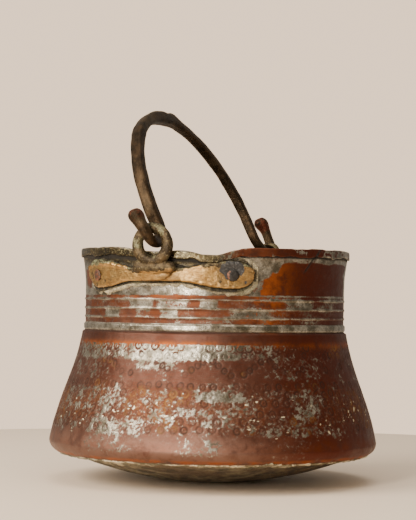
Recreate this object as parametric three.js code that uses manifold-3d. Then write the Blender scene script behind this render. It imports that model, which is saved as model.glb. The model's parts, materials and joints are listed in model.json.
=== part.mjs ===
// A hand-raised copper cauldron with a forged bail that swings in two cast lugs.
// Millimetres, +Z up. The origin is the centre of the flat that the cauldron stands on.
// The bail turns about a line along Y, so one lug is at -Y (front) and one at +Y (rear).
// An azimuth is measured from -Y towards +X.

import * as THREE from "three";
import { mergeVertices } from "three/addons/utils/BufferGeometryUtils.js";
import Module from "manifold-3d";

const wasm = await Module();
wasm.setup();

// Driving dimensions.

const gap = 0.3; // left between pieces that touch
const vesselSides = 48; // facets round the vessel
const rivetSides = 12;
const barSides = 10; // facets round the bail's and the rings' bars

// The vessel's sheet: a flared skirt below a shoulder, and a neck above it.
const wall = 1.5;
const widestRadius = 130;
const widestHeight = 31.3;
const cornerWidth = 10.4; // the skirt turns under to its lower edge on an elliptical corner
const cornerHeight = 9.5;
const shoulderRadius = 105.4;
const shoulderHeight = 116.5;
const neckHeight = 65.5; // from the shoulder to the rim
const neckRadius = 103.1;
const flareHeight = 32; // upper stretch of the neck that opens out
const flareAmount = 5.1;
const hemHeight = 6;
const hemFold = 1.4; // how far the folded hem stands out from the neck
const hemSlope = 1.5; // height over which the hem's lower edge slopes out
const rimBevel = 0.9; // on both edges of the rim
const bandStart = 2.6; // broad moulding just above the shoulder
const bandHeight = 4.2;
const bandProud = 1.1;
const bandSlope = 1.3; // height over which the moulding's lower edge rises
const ridgePlaces = [0.235, 0.55, 0.86]; // raised lines, as shares of the plain neck's height
const ridgeProud = 0.8;
const ridgeHalfWidth = 1.3;

// The bottom pan.
const panThickness = 1.5;
const flatRadius = 30; // the flat that the cauldron stands on
const flangeHeight = 7; // turned-up edge inside the skirt
const seamBandWidth = 7.5; // solder on the underside, inside the skirt's lower edge
const seamThickness = 1.3;
const seamEdge = 0.4; // thickness at the solder's inner edge

// Dents that lower the rim: over each lug, where the hooks bear, and right of the front lug.
const dentFoot = 22; // how far below the rim the dents start
const lugDent = 3.2;
const lugDentSpread = 13;
const sideDent = 6.2;
const sideDentAzimuth = 23;
const sideDentSpread = 9;

// The cast lugs: a curved plate with round lobes and a ring that stands on its middle.
const plateDrop = 21.3; // from the rim down to the plate's middle line
const plateHalfAngle = 40;
const lobeHalfHeight = 10.4;
const waistHalfHeight = 5;
const plateThickness = 3.2;
const plateEdge = 1.6; // thickness along the plate's edges
const bedThickness = 1; // solder under the plate
const bedMargin = 3.5; // solder showing round the plate
const lobeStart = 0.25; // shares of the half length between which the lobe widens
const lobeEnd = 0.72;
const roundStart = 0.78; // share of the half length where the rounded end begins
const endBluntness = 0.94; // 1 brings the plate's end to a point
const frontPlay = 3.7; // between the hook's bar and the front ring's hole
const frontRingBar = 8.8; // the front ring's bar, measured in the ring's plane
const rearPlay = 1.4;
const rearRingBar = 4.4;
const ringDepth = 7; // the rings' bars, measured along Y
const ringClearance = 0.6; // from the rim's hem to the rings
const footDepth = 4.3; // half the depth of the swelling that joins a ring to its plate
const footRise = 1.3; // how far the swelling reaches above the ring's lowest middle line
const footInset = 0.4; // how far the swelling lies inside the ring's plane

// The rivets: two through each plate.
const rivetAngle = 31.5;
const rivetShank = 2.6;
const rivetHead = 4.4;
const rivetHeadHeight = 1.2;
const rivetTail = 5.2;
const rivetTailHeight = 1.1;
const rivetRound = 0.8; // size of the flat on a rivet's tail, as a share of the tail

// The bail: an arch between two hooks that turn up outside the rings.
const bailLean = 25; // how far the bail leans towards -X at rest, in degrees
const bailRise = 117.6; // from the pivot to the crest
const archBase = 25; // height of the arch's centre above the pivot
const armInset = 21.5; // from the ring's plane in to the arms
const armHalfWidth = 5.2; // half the bar's size, in the bail's plane
const armHalfDepth = 5.6; // half the bar's size, across the bail's plane
const crestSwell = 0.22; // how much thicker the bar is at its crest
const crestSwellSpread = 22; // along Y
const rearSlimness = 0.82; // the rear arm's size as a share of the front arm's
const slimmingSpread = 60; // along Y, to each side of the crest, where the bar slims
const bossPlace = 18; // the lump on top of the bar lies this far to the rear
const bossHeight = 3.2;
const bossSpread = 7;
const armBend = 15; // radius of the bar's turn from the ring up into its arm
const hookRadius = 4.1;
const hookBend = 5; // radius of the hook's turn outside the ring
const endLean = 0.7; // how far the knob leans in over the ring
const collar = 1.15; // the bar's swelling under the knob and at the arm, as a share of its size
const knobRadius = 6;
const hookSpace = 1.2; // from the ring out to the turned-up end
const frontHookRise = 22.8; // from the pivot up to the middle of the knob
const rearHookRise = 28.5;
const hookClearance = 0.5; // from the rim to the hook's bar
const hookSeat = 0.6; // from a hole's middle up to the hook's bar

// Heights above the knob's middle and sizes of its sections, as shares of its radius.
const knobSections = [
  [0.85, 0.5],
  [0.35, 0.92],
  [-0.3, 1],
];

// Values worked out from them.

const degrees = Math.PI / 180;
const rimHeight = shoulderHeight + neckHeight;
const rimRadius = neckRadius + flareAmount;
const seamRadius = widestRadius - cornerWidth;
const seamHeight = widestHeight - cornerHeight;
const flangeTop = widestHeight + flangeHeight;
const plateHeight = rimHeight - plateDrop;
const bandTop = shoulderHeight + bandStart + bandHeight;
const plainNeck = plateHeight - lobeHalfHeight - bedMargin - bandTop;
const ringPlane = rimRadius + ringClearance + ringDepth / 2;
const pivotHeight = rimHeight - lugDent + hookClearance + hookRadius;
const ringHeight = pivotHeight - hookSeat;

const lugs = [
  { name: "front", azimuth: 0, play: frontPlay, bar: frontRingBar },
  { name: "rear", azimuth: 180, play: rearPlay, bar: rearRingBar },
];

// The vessel's outline as heights and radii.

function skirtRadius(height) {
  const share = (height - widestHeight) / (shoulderHeight - widestHeight);
  const drawn = 0.55 * share + 0.225 * (1 - Math.cos(Math.PI * share));
  return widestRadius - (widestRadius - shoulderRadius) * drawn;
}

function neckRadiusAt(height) {
  const share = Math.max(0, (height - rimHeight + flareHeight) / flareHeight);
  return neckRadius + (flareAmount - hemFold) * share * share;
}

const point = (radius, height) => new THREE.Vector2(radius, height);

// The elliptical corner between the widest circle and the lower edge, drawn inset by a distance.
function cornerPoints(inset) {
  const steps = 4;
  const points = [];
  for (let i = 0; i <= steps; i++) {
    const turn = (i / steps - 1) * (Math.PI / 2);
    const across = (cornerWidth - inset) * Math.cos(turn);
    const down = (cornerHeight - inset) * Math.sin(turn);
    points.push(point(seamRadius + across, widestHeight + down));
  }
  return points;
}

// The skirt from the top of the pan's flange up to the shoulder.
function skirtPoints(inset, steps) {
  const points = [];
  for (let i = 0; i <= steps; i++) {
    const height = flangeTop + ((shoulderHeight - flangeTop) * i) / steps;
    points.push(point(skirtRadius(height) - inset, height));
  }
  return points;
}

function mouldingPoints() {
  const start = shoulderHeight + bandStart - bandSlope / 2;
  const points = [
    point(neckRadius, start),
    point(neckRadius + bandProud, start + bandSlope),
    point(neckRadius + bandProud, bandTop - bandSlope),
    point(neckRadius, bandTop),
  ];
  for (const share of ridgePlaces) {
    const height = bandTop + plainNeck * share;
    points.push(point(neckRadius, height - ridgeHalfWidth));
    points.push(point(neckRadius + ridgeProud, height));
    points.push(point(neckRadius, height + ridgeHalfWidth));
  }
  return points;
}

function flarePoints(inset, top, steps) {
  const points = [];
  for (let i = 0; i <= steps; i++) {
    const height = rimHeight - flareHeight + ((top - rimHeight + flareHeight) * i) / steps;
    points.push(point(neckRadiusAt(height) - inset, height));
  }
  return points;
}

function hemPoints() {
  const under = rimHeight - hemHeight;
  const inner = neckRadiusAt(rimHeight) - wall;
  return [
    point(neckRadiusAt(under) + hemFold, under + gap),
    point(rimRadius, under + hemSlope),
    point(rimRadius, rimHeight - rimBevel),
    point(rimRadius - rimBevel, rimHeight),
    point(inner + rimBevel, rimHeight),
    point(inner, rimHeight - rimBevel),
  ];
}

function vesselOutline() {
  const outer = { skirt: 7, flare: 5 }; // steps up each stretch
  const inner = { skirt: 5, flare: 3 };
  const outside = [
    ...cornerPoints(0),
    ...skirtPoints(0, outer.skirt),
    ...mouldingPoints(),
    ...flarePoints(0, rimHeight - hemHeight, outer.flare),
    ...hemPoints(),
  ];
  const inside = [
    ...cornerPoints(wall),
    ...skirtPoints(wall, inner.skirt),
    point(neckRadius - wall, shoulderHeight + bandStart),
    ...flarePoints(wall, rimHeight - hemHeight, inner.flare),
  ];
  return [...outside, ...inside.reverse()];
}

// How far the rim is lowered at one of the vessel's edges, which are numbered round it.
function dentAtEdge(edge) {
  const azimuth = (edge * 360) / vesselSides;
  const away = (centre) => Math.abs(((azimuth - centre + 540) % 360) - 180);
  const dip = (centre, depth, spread) => depth * Math.exp(-((away(centre) / spread) ** 2));
  const overLugs = lugs.map((lug) => dip(lug.azimuth, lugDent, lugDentSpread));
  return overLugs[0] + overLugs[1] + dip(sideDentAzimuth, sideDent, sideDentSpread);
}

// How far the rim is lowered at an azimuth in degrees: straight between the vessel's edges.
function dentDepth(azimuth) {
  const place = (((azimuth + 360) % 360) * vesselSides) / 360;
  const edge = Math.floor(place);
  return THREE.MathUtils.lerp(dentAtEdge(edge), dentAtEdge(edge + 1), place - edge);
}

// The share of a dent that reaches down to a height.
function dentShare(height) {
  return THREE.MathUtils.smoothstep(height, rimHeight - dentFoot, rimHeight);
}

// The neck's outer radius at an azimuth and height, after the dents.
function dentedRadius(azimuth, height) {
  const depth = dentDepth(azimuth);
  const rounds = 20;
  let before = height;
  for (let i = 0; i < rounds; i++) before = height + depth * dentShare(before);
  return neckRadiusAt(before);
}

// The height of the hem's lower edge at an azimuth.
function hemUnderside(azimuth) {
  const before = rimHeight - hemHeight;
  return before - dentDepth(azimuth) * dentShare(before);
}

// Solids.

function solidFrom(geometry) {
  const bare = geometry.clone();
  bare.deleteAttribute("normal");
  bare.deleteAttribute("uv");
  const merged = mergeVertices(bare, 1e-3);
  const vertProperties = new Float32Array(merged.attributes.position.array);
  const triVerts = new Uint32Array(merged.index.array);
  return new wasm.Manifold(new wasm.Mesh({ numProp: 3, vertProperties, triVerts }));
}

function geometryFrom(solid) {
  const mesh = solid.getMesh();
  const geometry = new THREE.BufferGeometry();
  geometry.setAttribute("position", new THREE.BufferAttribute(mesh.vertProperties, 3));
  geometry.setIndex(new THREE.BufferAttribute(mesh.triVerts, 1));
  geometry.computeVertexNormals();
  return geometry;
}

// A profile of radii and heights turned about Z, starting at azimuth 0.
function turned(points, sides) {
  return new THREE.LatheGeometry(points, sides).rotateX(Math.PI / 2);
}

const closed = (points) => [...points, points[0].clone()];

// A place on a piece that stands on the neck, at right angles to the sheet.
function seatOnNeck(azimuth, height) {
  const step = 0.5;
  const radius = dentedRadius(azimuth, height);
  const slope = (dentedRadius(azimuth, height + step) - radius) / step;
  const around = azimuth * degrees;
  const position = new THREE.Vector3(
    radius * Math.sin(around),
    -radius * Math.cos(around),
    height,
  );
  const outward = new THREE.Vector3(Math.sin(around), -Math.cos(around), -slope).normalize();
  return { position, outward };
}

function rivetSeats(lug) {
  return [-rivetAngle, rivetAngle].map((side) => seatOnNeck(lug.azimuth + side, plateHeight));
}

// A hole through the neck, the solder and the plate for each of a lug's rivets.
function rivetHoles(lug) {
  const length = neckRadius; // far past the plate and the sheet, and short of the rear wall
  const radius = rivetShank + gap;
  const holes = rivetSeats(lug).map(({ position, outward }) => {
    const hole = new THREE.CylinderGeometry(radius, radius, length, rivetSides);
    const turn = new THREE.Quaternion().setFromUnitVectors(new THREE.Vector3(0, 1, 0), outward);
    hole.applyQuaternion(turn);
    hole.translate(position.x, position.y, position.z);
    return solidFrom(hole);
  });
  return holes[0].add(holes[1]);
}

function vesselGeometry() {
  const geometry = turned(closed(vesselOutline()), vesselSides);
  const places = geometry.attributes.position;
  for (let i = 0; i < places.count; i++) {
    const azimuth = Math.atan2(places.getX(i), -places.getY(i)) / degrees;
    const height = places.getZ(i);
    places.setZ(i, height - dentDepth(azimuth) * dentShare(height));
  }
  const drilled = lugs.reduce((solid, lug) => solid.subtract(rivetHoles(lug)), solidFrom(geometry));
  return geometryFrom(drilled);
}

// The height of the dished pan's underside.
function dishHeight(radius) {
  const edge = seamHeight + wall + gap;
  return (edge * (radius ** 2 - flatRadius ** 2)) / (seamRadius ** 2 - flatRadius ** 2);
}

// The dished pan with its turned-up edge, which stands inside the skirt's lower corner.
function panGeometry() {
  const inset = wall + gap;
  const under = [point(0, 0), point(flatRadius, 0)];
  const over = [point(0, panThickness), point(flatRadius, panThickness)];
  const steps = 5;
  for (let i = 1; i < steps; i++) {
    const radius = flatRadius + ((seamRadius - flatRadius) * i) / steps;
    under.push(point(radius, dishHeight(radius)));
    over.push(point(radius, dishHeight(radius) + panThickness));
  }
  under.push(...cornerPoints(inset));
  over.push(...cornerPoints(inset + panThickness));
  under.push(point(skirtRadius(flangeTop) - inset, flangeTop));
  over.push(point(skirtRadius(flangeTop) - inset - panThickness, flangeTop));
  return turned([...under, ...over.reverse()], vesselSides);
}

// The solder that fills the step between the pan and the skirt's lower edge.
function seamSolderGeometry() {
  const dish = (radius) => dishHeight(radius) - gap;
  const outer = seamRadius - gap;
  const inner = outer - seamBandWidth;
  const middle = (outer + inner) / 2;
  const outline = [
    point(inner, dish(inner) - seamEdge),
    point(middle, dish(middle) - seamThickness),
    point(outer, dish(outer) - seamThickness),
    point(outer, dish(outer)),
    point(middle, dish(middle)),
  ];
  return turned(closed(outline), vesselSides);
}

// Half the height of a lug's plate at a share of its half length.
function plateHalfHeight(share) {
  const lobe = THREE.MathUtils.smoothstep(share, lobeStart, lobeEnd);
  const full = waistHalfHeight + (lobeHalfHeight - waistHalfHeight) * lobe;
  const end = Math.max(0, (share - roundStart) / (1 - roundStart));
  return full * Math.sqrt(1 - endBluntness * end ** 2);
}

// A curved plate of the lug's outline, grown by a margin, standing off the neck by a distance.
function plateSolid(lug, margin, standOff, middleThickness, edgeThickness) {
  const columns = 28;
  const rows = 4;
  const halfAngle = plateHalfAngle + margin / (neckRadius * degrees);
  const places = [];
  for (let i = 0; i <= columns; i++) {
    const share = Math.sin((i / columns - 0.5) * Math.PI);
    const azimuth = lug.azimuth + share * halfAngle;
    const halfHeight = plateHalfHeight(Math.abs(share)) + margin;
    const bottom = plateHeight - halfHeight;
    const top = Math.min(plateHeight + halfHeight, hemUnderside(azimuth) - gap);
    for (let j = 0; j <= rows; j++) {
      const across = (2 * j) / rows - 1;
      const height = bottom + ((top - bottom) * j) / rows;
      const near = dentedRadius(azimuth, height) + standOff;
      const crown = 1 - across ** 2;
      const thickness = edgeThickness + (middleThickness - edgeThickness) * crown;
      for (const radius of [near, near + thickness]) {
        const around = azimuth * degrees;
        places.push(radius * Math.sin(around), -radius * Math.cos(around), height);
      }
    }
  }
  const at = (i, j, side) => 2 * (i * (rows + 1) + j) + side;
  const faces = [];
  const quad = (a, b, c, d) => faces.push(a, b, c, a, c, d);
  for (let i = 0; i < columns; i++) {
    for (let j = 0; j < rows; j++) {
      quad(at(i, j, 1), at(i + 1, j, 1), at(i + 1, j + 1, 1), at(i, j + 1, 1));
      quad(at(i, j, 0), at(i, j + 1, 0), at(i + 1, j + 1, 0), at(i + 1, j, 0));
    }
    quad(at(i, 0, 0), at(i + 1, 0, 0), at(i + 1, 0, 1), at(i, 0, 1));
    quad(at(i, rows, 1), at(i + 1, rows, 1), at(i + 1, rows, 0), at(i, rows, 0));
  }
  for (let j = 0; j < rows; j++) {
    quad(at(0, j, 0), at(0, j, 1), at(0, j + 1, 1), at(0, j + 1, 0));
    quad(at(columns, j, 1), at(columns, j, 0), at(columns, j + 1, 0), at(columns, j + 1, 1));
  }
  const geometry = new THREE.BufferGeometry();
  geometry.setAttribute("position", new THREE.BufferAttribute(new Float32Array(places), 3));
  geometry.setIndex(faces);
  return solidFrom(geometry);
}

function bedGeometry(lug) {
  const bed = plateSolid(lug, bedMargin, gap, bedThickness, bedThickness);
  return geometryFrom(bed.subtract(rivetHoles(lug)));
}

// The ring's axis is along Y, and its foot swells into the plate.
function ringSolid(lug) {
  const ringSides = 24;
  const footSides = 16;
  const meanRadius = hookRadius + lug.play + lug.bar / 2;
  const ring = new THREE.TorusGeometry(meanRadius, lug.bar / 2, barSides, ringSides);
  ring.rotateX(Math.PI / 2).scale(1, ringDepth / lug.bar, 1);
  ring.translate(0, -ringPlane, ringHeight);
  const footTop = ringHeight - meanRadius + footRise;
  const footBottom = plateHeight - waistHalfHeight / 2;
  const footHeight = (footTop - footBottom) / 2;
  const foot = new THREE.SphereGeometry(1, footSides, footSides / 2);
  foot.scale(meanRadius + lug.bar / 3, footDepth, footHeight);
  foot.translate(0, footInset - ringPlane, footBottom + footHeight);
  return solidFrom(ring).add(solidFrom(foot)).rotate([0, 0, lug.azimuth]);
}

function lugGeometry(lug) {
  const standOff = gap + bedThickness + gap;
  const plate = plateSolid(lug, 0, standOff, plateThickness, plateEdge);
  return geometryFrom(plate.add(ringSolid(lug)).subtract(rivetHoles(lug)));
}

// A rivet along +Y from a seat on the neck's outer face, with a flat tail inside the vessel.
function rivetGeometry() {
  const bow = rivetTail ** 2 / (2 * (neckRadius - wall));
  const tailTop = -wall - gap - bow;
  const headStart = gap + bedThickness + gap + plateThickness + gap;
  const outline = [
    point(0, tailTop - rivetTailHeight),
    point(rivetTail * rivetRound, tailTop - rivetTailHeight),
    point(rivetTail, tailTop - rivetTailHeight / 2),
    point(rivetTail, tailTop),
    point(rivetShank, tailTop),
    point(rivetShank, headStart),
    point(rivetHead, headStart),
    point(rivetHead * Math.SQRT1_2, headStart + rivetHeadHeight * Math.SQRT1_2),
    point(0, headStart + rivetHeadHeight),
  ];
  return new THREE.LatheGeometry(outline, rivetSides);
}

// One end of the bail from its knob in to the foot of its arm: distance out along Y, height above
// the pivot, and half the bar's size in the bail's plane and across it.
function hookStations(rise, slimness) {
  const arm = ringPlane - armInset;
  const end = ringPlane + ringDepth / 2 + hookSpace + hookRadius;
  const round = (out, height, radius) => [out, height, radius, radius];
  const upright = (height, radius) =>
    round(end - endLean * (height / rise) ** 2, height, radius);
  const knob = knobSections.map(([up, size]) =>
    upright(rise + up * knobRadius, size * knobRadius),
  );
  const hookTurns = [0, 0.5, 1].map((share) => {
    const turn = (share * Math.PI) / 2;
    const out = end - hookBend * (1 - Math.cos(turn));
    return round(out, hookBend * (1 - Math.sin(turn)), hookRadius);
  });
  const armTurns = [1, 0.67, 0.33].map((share) => {
    const turn = (share * Math.PI) / 2;
    const out = arm + armBend * (1 - Math.cos(turn));
    const swell = THREE.MathUtils.lerp(collar * slimness, 1, share);
    return round(out, armBend * (1 - Math.sin(turn)), hookRadius * swell);
  });
  const foot = [arm, armBend, armHalfWidth * slimness, armHalfDepth * slimness];
  const neck = upright(rise - knobRadius, hookRadius * collar);
  return [...knob, neck, upright(rise / 2, hookRadius), ...hookTurns, ...armTurns, foot];
}

// The arch from the front arm to the rear arm, with the lump on top of it.
function archStations() {
  const steps = 28;
  const arm = ringPlane - armInset;
  const bell = (place, centre, spread) => Math.exp(-(((place - centre) / spread) ** 2));
  const stations = [];
  for (let i = 0; i <= steps; i++) {
    const turn = (i / steps) * Math.PI;
    const y = -arm * Math.cos(turn);
    const rearward = THREE.MathUtils.smoothstep(y, -slimmingSpread, slimmingSpread);
    const slimness = THREE.MathUtils.lerp(1, rearSlimness, rearward);
    const swell = 1 + crestSwell * bell(y, 0, crestSwellSpread);
    const boss = (bossHeight / 2) * bell(y, bossPlace, bossSpread) * Math.sin(turn);
    const z = archBase + (bailRise - archBase) * Math.sin(turn) + boss;
    const width = armHalfWidth * slimness * swell + boss;
    stations.push({ y, z, width, depth: armHalfDepth * slimness });
  }
  return stations;
}

// The whole bar: sections round the centre line, square to it, closed at both knobs.
function bailGeometry() {
  const placed = (side) => ([out, z, width, depth]) => ({ y: side * out, z, width, depth });
  const front = hookStations(frontHookRise, 1).map(placed(-1));
  const rear = hookStations(rearHookRise, rearSlimness).map(placed(1)).reverse();
  const stations = [...front, ...archStations(), ...rear];
  const sides = barSides;
  const places = [];
  stations.forEach((station, i) => {
    const before = stations[Math.max(0, i - 1)];
    const after = stations[Math.min(stations.length - 1, i + 1)];
    const along = new THREE.Vector2(after.y - before.y, after.z - before.z).normalize();
    for (let j = 0; j < sides; j++) {
      const turn = ((j + 0.5) / sides) * Math.PI * 2;
      const inPlane = station.width * Math.cos(turn);
      const across = station.depth * Math.sin(turn);
      places.push(across, station.y - along.y * inPlane, station.z + along.x * inPlane);
    }
  });
  const faces = [];
  const last = stations.length - 1;
  for (let i = 0; i < last; i++) {
    for (let j = 0; j < sides; j++) {
      const next = (j + 1) % sides;
      const [a, b] = [i * sides + j, i * sides + next];
      faces.push(a, b, b + sides, a, b + sides, a + sides);
    }
  }
  for (let j = 1; j < sides - 1; j++) {
    faces.push(0, j + 1, j);
    faces.push(last * sides, last * sides + j, last * sides + j + 1);
  }
  const geometry = new THREE.BufferGeometry();
  geometry.setAttribute("position", new THREE.BufferAttribute(new Float32Array(places), 3));
  geometry.setIndex(faces);
  geometry.computeVertexNormals();
  return geometry;
}

// Materials.

const metal = (color, roughness, metalness = 1) =>
  new THREE.MeshStandardMaterial({ color, roughness, metalness });
const copper = metal(0x96553c, 0.42);
const sootyCopper = metal(0x7c6544, 0.7, 0.8);
const tin = metal(0xa9a595, 0.5);
const crustedTin = metal(0x6f6a55, 0.75, 0.7);
const brass = metal(0xb18a4c, 0.4);
const rivetCopper = metal(0x8a5138, 0.5);
const darkIron = metal(0x4a3d2c, 0.55, 0.9);

// The assembly.

const cauldron = new THREE.Group();

function addPiece(parent, name, geometry, material) {
  const mesh = new THREE.Mesh(geometry, material);
  mesh.name = name;
  parent.add(mesh);
  return mesh;
}

addPiece(cauldron, "body_wall", vesselGeometry(), copper);
addPiece(cauldron, "bottom_pan", panGeometry(), sootyCopper);
addPiece(cauldron, "bottom_seam_solder", seamSolderGeometry(), tin);

for (const lug of lugs) {
  addPiece(cauldron, `lug_${lug.name}`, lugGeometry(lug), brass);
  addPiece(cauldron, `solder_bed_${lug.name}`, bedGeometry(lug), crustedTin);
  rivetSeats(lug).forEach(({ position, outward }, i) => {
    const side = ["left", "right"][i];
    const rivet = addPiece(cauldron, `rivet_${lug.name}_${side}`, rivetGeometry(), rivetCopper);
    rivet.position.copy(position);
    rivet.quaternion.setFromUnitVectors(new THREE.Vector3(0, 1, 0), outward);
  });
}

const swing = new THREE.Group();
swing.position.z = pivotHeight;
swing.rotation.y = -bailLean * degrees;
addPiece(swing, "bail_handle", bailGeometry(), darkIron);
cauldron.add(swing);

export default cauldron;
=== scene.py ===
"""An old tinned copper cauldron with a forged bail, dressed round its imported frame.

Lengths are in millimetres and angles in degrees until a mesh is made, which is in metres.
An azimuth is measured from -Y, where the front lug is, towards +X.
"""
import json
import math
from itertools import product

import bpy
import numpy as np
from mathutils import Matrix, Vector


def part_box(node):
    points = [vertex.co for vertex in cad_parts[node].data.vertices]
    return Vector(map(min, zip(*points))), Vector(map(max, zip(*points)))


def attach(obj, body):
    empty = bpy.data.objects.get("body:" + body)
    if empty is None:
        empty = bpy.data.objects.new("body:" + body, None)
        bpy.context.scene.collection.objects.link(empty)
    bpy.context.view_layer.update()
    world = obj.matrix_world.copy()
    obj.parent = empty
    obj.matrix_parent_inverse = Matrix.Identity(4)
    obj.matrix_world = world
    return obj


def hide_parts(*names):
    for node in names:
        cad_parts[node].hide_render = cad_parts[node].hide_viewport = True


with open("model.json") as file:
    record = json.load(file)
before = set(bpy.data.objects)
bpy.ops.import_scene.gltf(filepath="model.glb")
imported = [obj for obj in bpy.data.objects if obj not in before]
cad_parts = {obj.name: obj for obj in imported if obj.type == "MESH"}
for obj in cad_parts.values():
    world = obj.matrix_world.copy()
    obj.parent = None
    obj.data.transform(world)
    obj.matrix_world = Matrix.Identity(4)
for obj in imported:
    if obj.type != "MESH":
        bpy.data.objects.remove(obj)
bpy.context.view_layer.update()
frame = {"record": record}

MM = 0.001

# Sizes that the frame gives.

WIDEST_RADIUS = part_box("body_wall")[1][0] / MM
RIM_HEIGHT = 182.0
SWING = frame["record"]["behaviour"]["joints"][0]
PIVOT_HEIGHT = SWING["pos_m"][2] / MM

# The vessel's sheet, as the CAD model has it.

WALL = 1.5
WIDEST_HEIGHT = 31.3
CORNER_WIDTH = 10.4
CORNER_HEIGHT = 9.5
SEAM_RADIUS = WIDEST_RADIUS - CORNER_WIDTH
SEAM_HEIGHT = WIDEST_HEIGHT - CORNER_HEIGHT
SHOULDER_RADIUS = 105.4
SHOULDER_HEIGHT = 116.5
NECK_RADIUS = 103.1
FLARE_HEIGHT = 32.0
FLARE_AMOUNT = 3.7
HEM_HEIGHT = 6.0
NECK_FOOT = 118.4
BAND_LOW = 119.1
BAND_HIGH = 123.3
BAND_PROUD = 1.1
RIDGES = (128.7, 135.5, 142.4)
RIDGE_PROUD = 0.8
BODY_COLUMNS = 1024
PUNCH_DEPTH = 0.34
TIN_STEP = 0.07
SCAR_DEPTH = 0.5
CREASE_DEPTH = 0.9
FLAT_RADIUS = 30.0
PAN_THICKNESS = 1.5
PAN_GAP = 0.3
FLANGE_TOP = 38.3

# The hem's section from its lower edge, up and over the rim: (outward, up) from the neck.
HEM_SECTION = (
    (0.75, 0.2), (0.95, -0.15), (1.3, -0.2), (1.6, 0.15), (1.68, 0.7), (1.66, 1.6), (1.62, 2.6),
    (1.66, 3.6), (1.6, 4.6), (1.45, 5.3), (1.05, 5.8), (0.4, 6.0), (-0.5, 5.95), (-1.1, 5.6),
    (-1.45, 4.9),
)

# Dents in the rim: (azimuth, depth, spread).
DENTS = ((0.0, 3.2, 13.0), (180.0, 3.2, 13.0), (23.0, 6.2, 9.0))
DENT_FOOT = 22.0

# The lugs.
PLATE_HEIGHT = 160.7
PLATE_HALF_ANGLE = 40.0
LOBE_HALF_HEIGHT = 10.4
WAIST_HALF_HEIGHT = 5.0
PLATE_THICKNESS = 3.2
PLATE_STAND_OFF = 1.6
BED_MARGIN = 3.5
RING_DEPTH = 7.0
RING_PLANE = 112.3
FOOT_BASE = 160.8
RIVET_ANGLE = 31.5

# The rings: (radius of the hole, thickness of the bar).
RINGS = {"front": (7.8, 8.8), "rear": (5.5, 4.4)}
RING_HEIGHT = PIVOT_HEIGHT - 0.6

# The bail.
BAIL_LEAN = 25.0
BAIL_RISE = 116.6
ARCH_BASE = 25.0
ARM_INSET = 21.5
HOOK_RADIUS = 4.1
CREST_SWELL = 0.22
REAR_SLIMNESS = 0.82
BOSS_PLACE = 18.0
BOSS_HEIGHT = 3.2


# Noise and small helpers.

def ramp(value, low, high):
    """A smooth step up, from 0 at low to 1 at high."""
    t = np.clip((value - low) / (high - low), 0, 1)
    return t * t * (3 - 2 * t)


def fade(value, low, high):
    """A smooth step down, from 1 at low to 0 at high."""
    return 1 - ramp(value, low, high)


def between(value, low, low_end, high_start, high):
    """1 from low_end to high_start, easing to 0 at low and at high."""
    return ramp(value, low, low_end) * fade(value, high_start, high)


def bell(value, centre, spread):
    return np.exp(-(((value - centre) / spread) ** 2))


def noise(points, size, seed):
    """Smooth noise from -1 to 1 at an array of points, its cells of the given size in mm."""
    side = 32
    table = np.random.default_rng(seed).uniform(-1, 1, (side, side, side))
    place = points / size
    cell = np.floor(place).astype(int)
    t = place - cell
    t = t * t * (3 - 2 * t)
    total = np.zeros(points.shape[:-1])
    for corner in product((0, 1), repeat=3):
        weight = np.ones(points.shape[:-1])
        for axis, far in enumerate(corner):
            weight = weight * (t[..., axis] if far else 1 - t[..., axis])
        at = tuple((cell[..., axis] + far) % side for axis, far in enumerate(corner))
        total += weight * table[at]
    return total


def rough_noise(points, size, seed, octaves=3):
    """Noise with finer and weaker layers, each on the next seed."""
    total = np.zeros(points.shape[:-1])
    for k in range(octaves):
        total += noise(points, size / 2**k, seed + k) * 0.55**k
    return total


def full_circle(count):
    """Azimuths evenly round the vessel."""
    return np.linspace(-180, 180, count, endpoint=False)


def full_turn(count):
    """Angles in radians evenly round a section."""
    return np.linspace(0, 2 * np.pi, count, endpoint=False)


def in_scene(name, data):
    thing = bpy.data.objects.new(name, data)
    bpy.context.scene.collection.objects.link(thing)
    return thing


def around(azimuth, radius, height):
    """Points from cylinder coordinates, broadcast together."""
    turn = np.radians(azimuth)
    x, y, z = np.broadcast_arrays(radius * np.sin(turn), -radius * np.cos(turn), height)
    return np.stack([x, y, z], -1)


def either_side(azimuth):
    """The angle past the nearer lug, from -60 to 120, so that the rear looks like the front."""
    return (azimuth + 60) % 180 - 60


def on_drum(azimuth, height):
    """Where noise that belongs to the vessel's surface is read."""
    return around(azimuth, 100.0, height)


def turn_between(azimuth, centre):
    """The angle from a centre to an azimuth, from -180 to 180."""
    return (azimuth - centre + 180) % 360 - 180


def grid_mesh(name, grid, wrap_rows=False, pole_first=False, pole_last=False):
    """An object from a grid of points in mm. Each row closes on itself, and a pole closes an end."""
    rows, columns = grid.shape[:2]
    index = np.arange(rows * columns).reshape(rows, columns)
    down = np.vstack([index, index[:1]]) if wrap_rows else index
    across = np.hstack([down, down[:, :1]])
    quads = np.stack([across[:-1, :-1], across[:-1, 1:], across[1:, 1:], across[1:, :-1]], -1)
    faces = [tuple(q) for q in quads.reshape(-1, 4)]
    points = grid.reshape(-1, 3)
    for wanted, row in ((pole_first, 0), (pole_last, rows - 1)):
        if wanted:
            points = np.vstack([points, grid[row].mean(0)])
            middle = len(points) - 1
            ring = list(index[row]) + [index[row][0]]
            for a, b in zip(ring, ring[1:]):
                faces.append((middle, b, a) if row == 0 else (a, b, middle))
    mesh = bpy.data.meshes.new(name)
    mesh.from_pydata(points * MM, [], faces)
    mesh.update()
    mesh.shade_smooth()
    return in_scene(name, mesh)


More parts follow.
